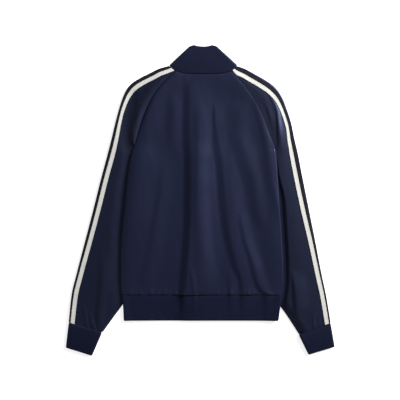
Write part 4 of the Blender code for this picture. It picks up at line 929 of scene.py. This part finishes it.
# Stations along the band, from its left front end: on the neck seam, on the folded edge, and 1
# where the band lies on top, 0 where it lies beneath.
CollarStation = namedtuple("CollarStation", "seam_x seam_y edge_x edge_y level")
COLLAR = [CollarStation(*row) for row in (
    (-52.0, 240, 0.5, 294, 0.0), (-62.0, 288, -6.0, 341, 0.0), (-71.0, 335, -16.0, 386, 0.0),
    (-78.5, 355, -25.0, 406.5, 0.0), (-82.5, 359, -28.5, 410, 0.5), (-78.5, 355, -22.5, 411, 1.0),
    (-66.5, 343.5, -15.0, 412, 1.0), (-32.0, 335.0, -9.0, 410, 1.0), (13.0, 334.5, 8.0, 408.5, 1.0),
    (58.0, 335.5, 25.0, 410, 1.0), (84.0, 343.5, 30.0, 412, 1.0), (95.0, 355, 37.5, 411, 1.0),
    (99.0, 359, 43.5, 410, 0.5), (95.0, 355, 40.0, 406.5, 0.0), (88.5, 335, 33.0, 386, 0.0),
    (79.5, 288, 23.5, 341, 0.0), (69.5, 240, 17.0, 294, 0.0),
)]
COLLAR_HEIGHT = 10.8
COLLAR_FOLDS = (3, 5, 11, 13)    # the stations where the band turns over, and their ends
COLLAR_SPANS = (42, 24, 111, 24, 42)
COLLAR_ROWS = 43
COLLAR_POINTS = 1600
BAND_HEIGHT = 74.0


def collar_line(share):
    """The collar band from end to end, at a share of its height: x, y and level."""
    fine = np.linspace(0, len(COLLAR) - 1, COLLAR_POINTS)
    seam_x, seam_y, edge_x, edge_y, level = np.array(COLLAR, float).T
    x = seam_x * (1 - share) + edge_x * share
    y = seam_y * (1 - share) + edge_y * share
    return [smooth(np.arange(len(COLLAR)), values, fine) for values in (x, y, level)]


def neck_seam_y(x):
    """The neck seam of the back and of the tops of the sleeves."""
    left, right = YOKE[-1].seam_left, YOKE[-1].seam_right
    u = (x - 0.5 * (left + right)) / (0.5 * (right - left))
    tops = [side.sleeve[0] for side in (LEFT, RIGHT)]
    beyond = np.interp(x, (tops[0].outer_x, left, right, tops[1].outer_x),
                       (tops[0].outer_y, TOP_Y, TOP_Y, tops[1].outer_y))
    return np.where(np.abs(u) < 1.0, TOP_Y - NECK_SAG * (1.0 - u ** 4), beyond)


def collar_section(share):
    """The band at one share of its height, spaced out between its turned sides."""
    along = np.subtract(collar_line(1.0), collar_line(0.0)).T
    x, y, level = collar_line(share)
    lowest = np.where(level > 0.6, np.maximum(y, neck_seam_y(x) + SEAM_GAP), y)
    y = y + (lowest - y) * (1.0 - ease(share / 0.04))
    swell = COLLAR_HEIGHT - 1.4 * share + 1.2 * math.sin(math.pi * share)
    points = np.stack([x, y, swell * level], axis=1)
    run = run_length(points)
    marks = [run[round(k * (len(run) - 1) / (len(COLLAR) - 1))] for k in COLLAR_FOLDS]
    return respaced(points, marks, COLLAR_SPANS, along)


shares = edge_rows(BAND_HEIGHT, COLLAR_ROWS) / BAND_HEIGHT
collar = shell("rib_collar", "collar",
               square_off([collar_section(share) for share in shares]), RIB_WALL, rib_knit,
               (1.2, 1.2, 0.5, 0.5))

# ---------------------------------------------------------------- fronts
# The two fronts lie face down on the table: each runs from its side seam to the zip, and is
# sewn to a sleeve above the armpit and to the collar at the neck.

FRONT_SPANS = (18, 81)
FRONT_ROWS = 151
FRONT_TOP_Y = 340.0
FRONT_SIDE = 14.0         # width of the finely spaced cloth at its side
STRIP_ACROSS = 5.2        # width of one half of the zip that shows past the front
ZIP_NECK_Y = 239.0
ZIP_NECK_X = {"left": -47.0, "right": 64.5}


def zip_edge(side, y):
    """The free edge of one half of the zip."""
    closed = zip_middle(y) + side.sign * 0.5 * SEAM_GAP
    share = np.clip((y - ZIP_CLOSED_TOP[1]) / (ZIP_NECK_Y - ZIP_CLOSED_TOP[1]), 0.0, 1.0)
    top = ZIP_CLOSED_TOP[0] + side.sign * 0.5 * SEAM_GAP
    opened = top + share * (ZIP_NECK_X[side.name] - top)
    return np.where(y < ZIP_CLOSED_TOP[1], closed, opened)


def beside_zip(side, y):
    """The edge of a front, or an end of the hem band, that is sewn to the zip."""
    return float(zip_edge(side, y)) + side.sign * (STRIP_ACROSS + SEAM_GAP)


def front_side(side, y):
    """The side of a front at one height, from its seam to where it lies flat."""
    if y >= armpit_y(side):
        return [on_underside(front_raglan(side, y), y)]
    roll = side_roll(side, y)
    inset = side_inset(side, y)
    if inset > LEAST_INSET:
        return [on_underside(roll.centre - side.sign * (inset + SEAM_GAP), y)]
    start = min(roll.turn + 1.3 * SEAM_GAP / roll.radius, math.pi)
    return round_points(side, y, roll, np.linspace(start, math.pi, 12))


def neckline(side, y):
    """The front neck seam, on the side of the front."""
    x, seam_y, level = collar_line(0.0)
    half_line = slice(0, 300) if side is LEFT else slice(-1, -300, -1)
    return float(np.interp(y, seam_y[half_line], x[half_line]) + side.sign * SEAM_GAP * 1.3)


def front_section(side, y):
    """A section of a front at one height, from its side to the zip or the collar."""
    rolled = front_side(side, y)
    inside = beside_zip(side, y) if y <= ZIP_NECK_Y else neckline(side, y)
    x = rolled[-1][0] + (inside - rolled[-1][0]) * np.linspace(0.0, 1.0, DENSE)[1:]
    points = np.concatenate([rolled, np.stack([x, 0.0 * x + y, underside(x, 0.0 * x + y)], axis=1)])
    mark = min(FRONT_SIDE, 0.4 * abs(inside - x[0]))
    return respaced(points, (mark,), FRONT_SPANS, (0.0, side.sign, 0.0))


front_low = HEM_SEAM_Y + SEAM_GAP
front_rows = front_low + edge_rows(FRONT_TOP_Y - front_low, FRONT_ROWS)
for side in (LEFT, RIGHT):
    front = shell("front_panel_" + side.name, "front_" + side.name,
                  square_off([front_section(side, y) for y in front_rows]), CLOTH, tricot,
                  (0.6, -0.6, 0.6, 0.6))

# ---------------------------------------------------------------- hem band
# The hem band is one strip of the same rib as the cuffs, folded lengthways: it runs from one
# half of the zip round the back to the other.

HEM_ROWS = 43
HEM_SPANS = (60, 27, 171, 27, 60)
HEM_STEP = 1.7            # the body blouses this far above the band
HEM_STEP_RUN = 20.0       # width over which that step grows from both side folds
HEM_FOLDS_Y = -246.0      # the band carries on the folds that the body has here
HEM_END_POINTS = 120


def hem_section(y):
    """A section of the hem band, from one end at the zip round the back to the other."""
    left, right = (np.array(body_side(side, y)) for side in (LEFT, RIGHT))
    x = np.linspace(left[-1, 0], right[-1, 0], DENSE)
    ys = np.full_like(x, y)
    gathered = ease((y - HEM_BOTTOM_Y) / (HEM_SEAM_Y - HEM_BOTTOM_Y))
    z = top_height(x, ys) - fold_height("body", x, ys) - gather_height(x, ys)
    z = z + (0.15 + 0.45 * gathered) * fold_height("body", x, np.full_like(x, HEM_FOLDS_Y))
    z = z - HEM_STEP * ease(np.minimum(x - x[0], x[-1] - x) / HEM_STEP_RUN)
    ends = []
    for side, rolled in ((LEFT, left), (RIGHT, right)):
        end_x = np.linspace(beside_zip(side, y), rolled[0, 0], HEM_END_POINTS)[:-1]
        end_y = np.full_like(end_x, y)
        ends.append(np.stack([end_x, end_y, underside(end_x, end_y)], axis=1))
    points = np.concatenate([ends[0], left, np.stack([x, ys, z], axis=1)[1:-1], right[::-1],
                             ends[1][::-1]])
    run = run_length(points)
    marks = (run[len(ends[0])], run[len(ends[0]) + len(left) - 1],
             run[-1] - run_length(np.concatenate([ends[1], right]))[-1],
             run[-1] - run_length(ends[1])[-1])
    return respaced(points, marks, HEM_SPANS, (0.0, 1.0, 0.0))


hem_rows = HEM_BOTTOM_Y + edge_rows(HEM_SEAM_Y - HEM_BOTTOM_Y, HEM_ROWS)
hem = shell("rib_hem_band", "hem_band",
            square_off([hem_section(y) for y in hem_rows]), RIB_WALL, rib_knit,
            (1.2, -0.6, 0.5, 0.5))

# ---------------------------------------------------------------- zip
# Each half of the zip is a woven tape with moulded teeth that clasp its free edge.  The teeth of
# the two halves interlock up to the slider and stand apart above it.

ZIP_STRIP = 5.0
ZIP_ROWS, ZIP_COLUMNS = 280, 7
ZIP_TOP = 1.5             # height of the zip tape's upper face over the cloth's outside
ZIP_WALL = 0.8
ZIP_CUT_BACK = 1.2        # the tape ends this far inside the teeth's middle line
ZIP_PLACES = (*np.linspace(HEM_BOTTOM_Y, 40.0, 12), 66.0, ZIP_CLOSED_TOP[1], 120.0, 150.0, 185.0,
              222.0)
TOOTH_STEP = 2.5
TOOTH_LOW, TOOTH_HIGH = 0.05, 2.2
TOOTH_EDGE = 0.15
# Where the first tooth of each half stands, so that the teeth of the two halves interlock.
FIRST_TOOTH = {"left": 0.5 * TOOTH_STEP, "right": 0.9 * TOOTH_STEP}
# A tooth from above: a block over the tape's edge, with a rounded head past the middle line.
TOOTH_PLAN = ((-2.4, -0.5), (-0.4, -0.42), (0.2, -0.62), (0.7, -0.35),
              (0.7, 0.35), (0.2, 0.62), (-0.4, 0.42), (-2.4, 0.5))
SLIDER_CLEAR = 1.0


def meeting(point, direction, other, other_direction):
    """Where two lines in plan cross."""
    matrix = np.array([direction, (-other_direction[0], -other_direction[1])]).T
    share = np.linalg.solve(matrix, np.subtract(other, point))
    return np.add(point, share[0] * np.asarray(direction))


def zip_stations(side):
    """Pairs of points down one half of the zip: on its sewn edge and on its free edge."""
    free = [float(zip_edge(side, y)) for y in ZIP_PLACES]
    stations = [((x + side.sign * STRIP_ACROSS, y), (x, y)) for x, y in zip(free, ZIP_PLACES)]
    end = COLLAR[0 if side is LEFT else -1]
    seam_end = np.array((end.seam_x, end.seam_y))
    edge_end = np.array((end.edge_x, end.edge_y))
    along = unit(edge_end - seam_end)
    out = np.array((-side.sign * along[1], side.sign * along[0]))
    offsets = (SEAM_GAP * out, (SEAM_GAP + ZIP_STRIP) * out)
    stations.append([meeting(near, np.subtract(far, near), seam_end + offset, along)
                     for near, far, offset in zip(*stations[-2:], offsets)])
    for share in (0.3, 0.65, 0.995):
        stations.append([seam_end + share * (edge_end - seam_end) + offset for offset in offsets])
    return np.array(stations)


def lines_tree():
    """Nodes that set a shape at even steps along lines, square to each line and to its up."""
    tree = bpy.data.node_groups.new("shapes_along_lines", "GeometryNodeTree")
    names = {}
    for name, kind, way in (("Lines", "NodeSocketGeometry", "INPUT"),
                            ("Shape", "NodeSocketObject", "INPUT"),
                            ("Step", "NodeSocketFloat", "INPUT"),
                            ("Finish", "NodeSocketMaterial", "INPUT"),
                            ("Shapes", "NodeSocketGeometry", "OUTPUT")):
        names[name] = tree.interface.new_socket(name, in_out=way, socket_type=kind).identifier
    given = add_node(tree, "NodeGroupInput").outputs
    shape = add_node(tree, "GeometryNodeObjectInfo", links={"Object": given["Shape"]})
    curve = add_node(tree, "GeometryNodeMeshToCurve", links={"Mesh": given["Lines"]})
    even = add_node(tree, "GeometryNodeResampleCurve", {"mode": "LENGTH"},
                    {"Curve": curve.outputs["Curve"], "Length": given["Step"]})
    tangent = add_node(tree, "GeometryNodeInputTangent")
    up = add_node(tree, "GeometryNodeInputNamedAttribute", {"data_type": "FLOAT_VECTOR", "Name": "up"})
    along = add_node(tree, "FunctionNodeAlignRotationToVector", {"axis": "X"},
                     {"Vector": tangent.outputs["Tangent"]})
    turned = add_node(tree, "FunctionNodeAlignRotationToVector", {"axis": "Z", "pivot_axis": "X"},
                      {"Rotation": along.outputs["Rotation"], "Vector": up.outputs["Attribute"]})
    copies = add_node(tree, "GeometryNodeInstanceOnPoints",
                      links={"Points": even.outputs["Curve"], "Instance": shape.outputs["Geometry"],
                             "Rotation": turned.outputs["Rotation"]})
    real = add_node(tree, "GeometryNodeRealizeInstances", links={"Geometry": copies.outputs[0]})
    finished = add_node(tree, "GeometryNodeSetMaterial",
                        links={"Geometry": real.outputs[0], "Material": given["Finish"]})
    add_node(tree, "NodeGroupOutput", links={"Shapes": finished.outputs[0]})
    return tree, names


ALONG_LINES, ALONG_NAMES = lines_tree()


def shapes_along(name, lines, shape, step, finish):
    """A plain mesh of one shape repeated along lines, each of points and normals."""
    mesh = bpy.data.meshes.new(name + "_lines")
    starts = np.cumsum([0] + [len(line) for line in lines])
    edges = [(k, k + 1) for k in range(starts[-1] - 1) if k + 1 not in starts]
    both = np.concatenate(lines)
    mesh.from_pydata((both[:, :3] * MM).tolist(), edges, [])
    mesh.attributes.new("up", "FLOAT_VECTOR", "POINT").data.foreach_set(
        "vector", np.ascontiguousarray(both[:, 3:]).ravel())
    carrier = in_scene(name + "_lines", mesh)
    modifier = carrier.modifiers.new("along_lines", "NODES")
    modifier.node_group = ALONG_LINES
    modifier[ALONG_NAMES["Shape"]] = shape
    modifier[ALONG_NAMES["Step"]] = step * MM
    modifier[ALONG_NAMES["Finish"]] = finish
    seen = carrier.evaluated_get(bpy.context.evaluated_depsgraph_get())
    made = in_scene(name, bpy.data.meshes.new_from_object(seen))
    carrier.modifiers.clear()
    bpy.data.objects.remove(carrier)
    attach(made, "jacket")


def ringed_shape(name, rings):
    """A closed shape through rings of points in millimetres, for the nodes to repeat."""
    count = len(rings[0])
    last = (len(rings) - 1) * count
    faces = [tuple(range(count))[::-1], tuple(range(last, last + count))]
    faces += [(r + k, r + (k + 1) % count, r + count + (k + 1) % count, r + count + k)
              for r in range(0, last, count) for k in range(count)]
    mesh = bpy.data.meshes.new(name)
    mesh.from_pydata([(x * MM, y * MM, z * MM) for ring in rings for x, y, z in ring], [], faces)
    return bpy.data.objects.new(name, mesh)


def toned(name, colour, other, scale, detail, roughness):
    """A plain material whose tone changes faintly from place to place."""
    made, tree, shader = new_material(name, Roughness=roughness)
    two_tones(tree, shader, uneven(tree, scale, detail), colour, other)
    return made


# Woven polyester tape of the zip.
zip_tape = knit("woven_zip_tape", "1A1D2C", "151825", wale=0.9, course=0.9, ribs=1.0, depth=0.04,
                shine=0.3, roughness=0.7)
# Moulded acetal teeth: near black, smooth, with a faint unevenness from the mould.
tooth_plastic = toned("moulded_acetal", "1C1F2B", "14161F", scale=260.0, detail=2.0,
                      roughness=0.42)
inner_plan = [(x + TOOTH_EDGE * (1 if x < 0 else -1), y * 0.8) for x, y in TOOTH_PLAN]
tooth = ringed_shape("zip_tooth", [[(-y, x, z) for x, y in plan] for plan, z in (
    (inner_plan, TOOTH_LOW), (TOOTH_PLAN, TOOTH_LOW + TOOTH_EDGE),
    (TOOTH_PLAN, TOOTH_HIGH - TOOTH_EDGE), (inner_plan, TOOTH_HIGH))])
for side in (LEFT, RIGHT):
    stations = zip_stations(side)
    place = run_length(stations[:, 0])
    wanted = np.linspace(0.0, place[-1], ZIP_ROWS)
    sewn, free = (read_line(wanted, place, stations[:, k]) for k in (0, 1))
    spread = np.linspace(0.0, 1.0 - ZIP_CUT_BACK / ZIP_STRIP, ZIP_COLUMNS)[None, :, None]
    xy = sewn[:, None] * (1.0 - spread) + free[:, None] * spread
    z = underside(xy[..., 0], xy[..., 1])[..., None] + ZIP_TOP
    grid = np.concatenate([xy, z, 0.0 * xy, 0.0 * z + 1.0], axis=2)
    tape_name = "zip_tape_" + side.name
    shell(tape_name, "zip_" + side.name, grid if side is RIGHT else grid[:, ::-1],
          ZIP_WALL, zip_tape)
    slider_low, slider_high = (corner[1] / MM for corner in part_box("zip_slider"))
    lines = []
    for part in (free[:, 1] < slider_low - SLIDER_CLEAR, free[:, 1] > slider_high + SLIDER_CLEAR):
        line = free[part][::int(side.sign)]
        z = underside(line[:, 0], line[:, 1])
        line = np.column_stack([line, z, 0.0 * line, 0.0 * z + 1.0])
        run = run_length(line[:, :3])
        wanted = np.linspace(FIRST_TOOTH[side.name], run[-1] - 0.5 * TOOTH_STEP, len(line))
        lines.append(read_line(wanted, run, line))
    shapes_along("zip_teeth_" + side.name, lines, tooth, TOOTH_STEP, tooth_plastic)

# ---------------------------------------------------------------- stitching
# Lockstitches in polyester thread hold down both edges of each tape, and run beside the seams of
# the hem band, the cuffs, the collar and the zip.  The thread matches the cloth it is sewn in.

STITCH_STEP = 2.6
STITCH_LENGTH = 2.0
THREAD = 0.45
THREAD_SIDES = 6
STITCH_RAISED = 0.08
TAPE_INSET = 1.3          # from a tape's edge to its stitches
SEAM_INSET = 2.2          # and from a seam to the stitches beside it
ZIP_STITCH_END = 6.0      # the stitches beside the zip stop this far below the neck
# Rings of one stitch: place along it and thickness, and how deep it has sunk for its thickness.
STITCH_RINGS = ((-0.5, 0.35, 0.5), (-0.3, 0.95, 0.08), (0.0, 1.0, 0.0), (0.3, 0.95, 0.08),
                (0.5, 0.35, 0.5))


def line_beside(piece, edge, inset):
    """Points and normals on a piece's face, at a distance in from one of its four edges."""
    grid = outer_faces[piece] if edge < 2 else outer_faces[piece].swapaxes(0, 1)
    grid = grid if edge % 2 == 0 else grid[::-1]
    line = np.array([read_line(inset, run_length(points[:, :3]), points)
                     for points in grid.swapaxes(0, 1)])
    line[:, :3] += STITCH_RAISED * line[:, 3:]
    return line


# Twisted sewing threads, each with a faint change of tone along it.
white_thread, black_thread, navy_thread = (
    toned(name + "_polyester_thread", colour, other, scale=1400.0, detail=1.0, roughness=0.6)
    for name, colour, other in (("white", "D8D6D0", "BDBBB4"), ("black", "1A1917", "100F0E"),
                                ("navy", "14172C", "0C0E1C")))
turns = [2.0 * math.pi * k / THREAD_SIDES for k in range(THREAD_SIDES)]
stitch = ringed_shape("stitch", [[
    (x * STITCH_LENGTH, 0.5 * THREAD * radius * math.cos(turn),
     THREAD * (0.5 * radius * math.sin(turn) - sunk)) for turn in turns]
    for x, radius, sunk in STITCH_RINGS])
stitch.data.shade_smooth()
for side in (LEFT, RIGHT):
    for colour, finish in (("white", white_thread), ("black", black_thread)):
        name = f"{colour}_tape_{side.name}"
        lines = [line_beside(name, edge, TAPE_INSET) for edge in (2, 3)]
        shapes_along(name + "_stitches", lines, stitch, STITCH_STEP, finish)
seams = [line_beside("back_panel", edge, SEAM_INSET) for edge in (0, 1)]
for side in (LEFT, RIGHT):
    seams.append(line_beside("raglan_sleeve_" + side.name, 1, SEAM_INSET))
    seams.append(line_beside("front_panel_" + side.name, 0, SEAM_INSET))
    line = line_beside("front_panel_" + side.name, 3, SEAM_INSET)
    seams.append(line[line[:, 1] < ZIP_NECK_Y - ZIP_STITCH_END])
shapes_along("seam_stitches", seams, stitch, STITCH_STEP, navy_thread)
for shape in (tooth, stitch):
    bpy.data.objects.remove(shape)

# ---------------------------------------------------------------- floor, light and camera
# A plain white board lit from within lies under the jacket, and one soft lamp lights it from the
# upper right.  The camera looks straight down.

FLOOR_HALF = 3.0          # metres, as are the lamp's size and the distances of lamp and camera
floor_mesh = bpy.data.meshes.new("floor")
floor_mesh.from_pydata([(x * FLOOR_HALF, y * FLOOR_HALF, 0)
                        for x, y in ((-1, -1), (1, -1), (1, 1), (-1, 1))], [], [(0, 1, 2, 3)])
floor = in_scene("floor", floor_mesh)
paper, tree, shader = new_material("lit_white_acrylic", Base_Color=linear("F4F4F4"), Roughness=0.9,
                                   Emission_Color=linear("FFFFFF"), Emission_Strength=0.72)
floor.data.materials.append(paper)

VIEW_PIXELS = 400
PIXEL = 2.65 * MM         # width of a pixel at the jacket
VIEW_CENTRE = (-0.25, 0.5)    # in pixels from the origin
VIEW_PLANE = 0.008        # height at which a pixel has that width
camera_data = bpy.data.cameras.new("camera")
camera_data.lens = 60.0
camera_data.sensor_width = 36.0
camera = in_scene("camera", camera_data)
camera.location = (VIEW_CENTRE[0] * PIXEL, VIEW_CENTRE[1] * PIXEL,
                   VIEW_PLANE + VIEW_PIXELS * PIXEL * camera_data.lens / camera_data.sensor_width)
bpy.context.scene.camera = camera

KEY_DISTANCE = 4.6
KEY_HEIGHT_ANGLE = math.radians(26.0)
KEY_TURN = math.radians(38.0)
softbox = bpy.data.lights.new("key", "AREA")
softbox.shape = "SQUARE"
softbox.size = 1.7
softbox.energy = 535.0
key = in_scene("key", softbox)
key.location = (KEY_DISTANCE * math.cos(KEY_HEIGHT_ANGLE) * math.cos(KEY_TURN),
                KEY_DISTANCE * math.cos(KEY_HEIGHT_ANGLE) * math.sin(KEY_TURN),
                KEY_DISTANCE * math.sin(KEY_HEIGHT_ANGLE))
key.rotation_euler = (-key.location).to_track_quat("-Z", "Y").to_euler()
world = bpy.data.worlds.new("studio")
world.use_nodes = True
sky = world.node_tree.nodes["Background"].inputs
sky["Color"].default_value = (1.0, 1.0, 1.0, 1.0)
sky["Strength"].default_value = 0.22
bpy.context.scene.world = world
bpy.context.scene.view_settings.view_transform = "Standard"
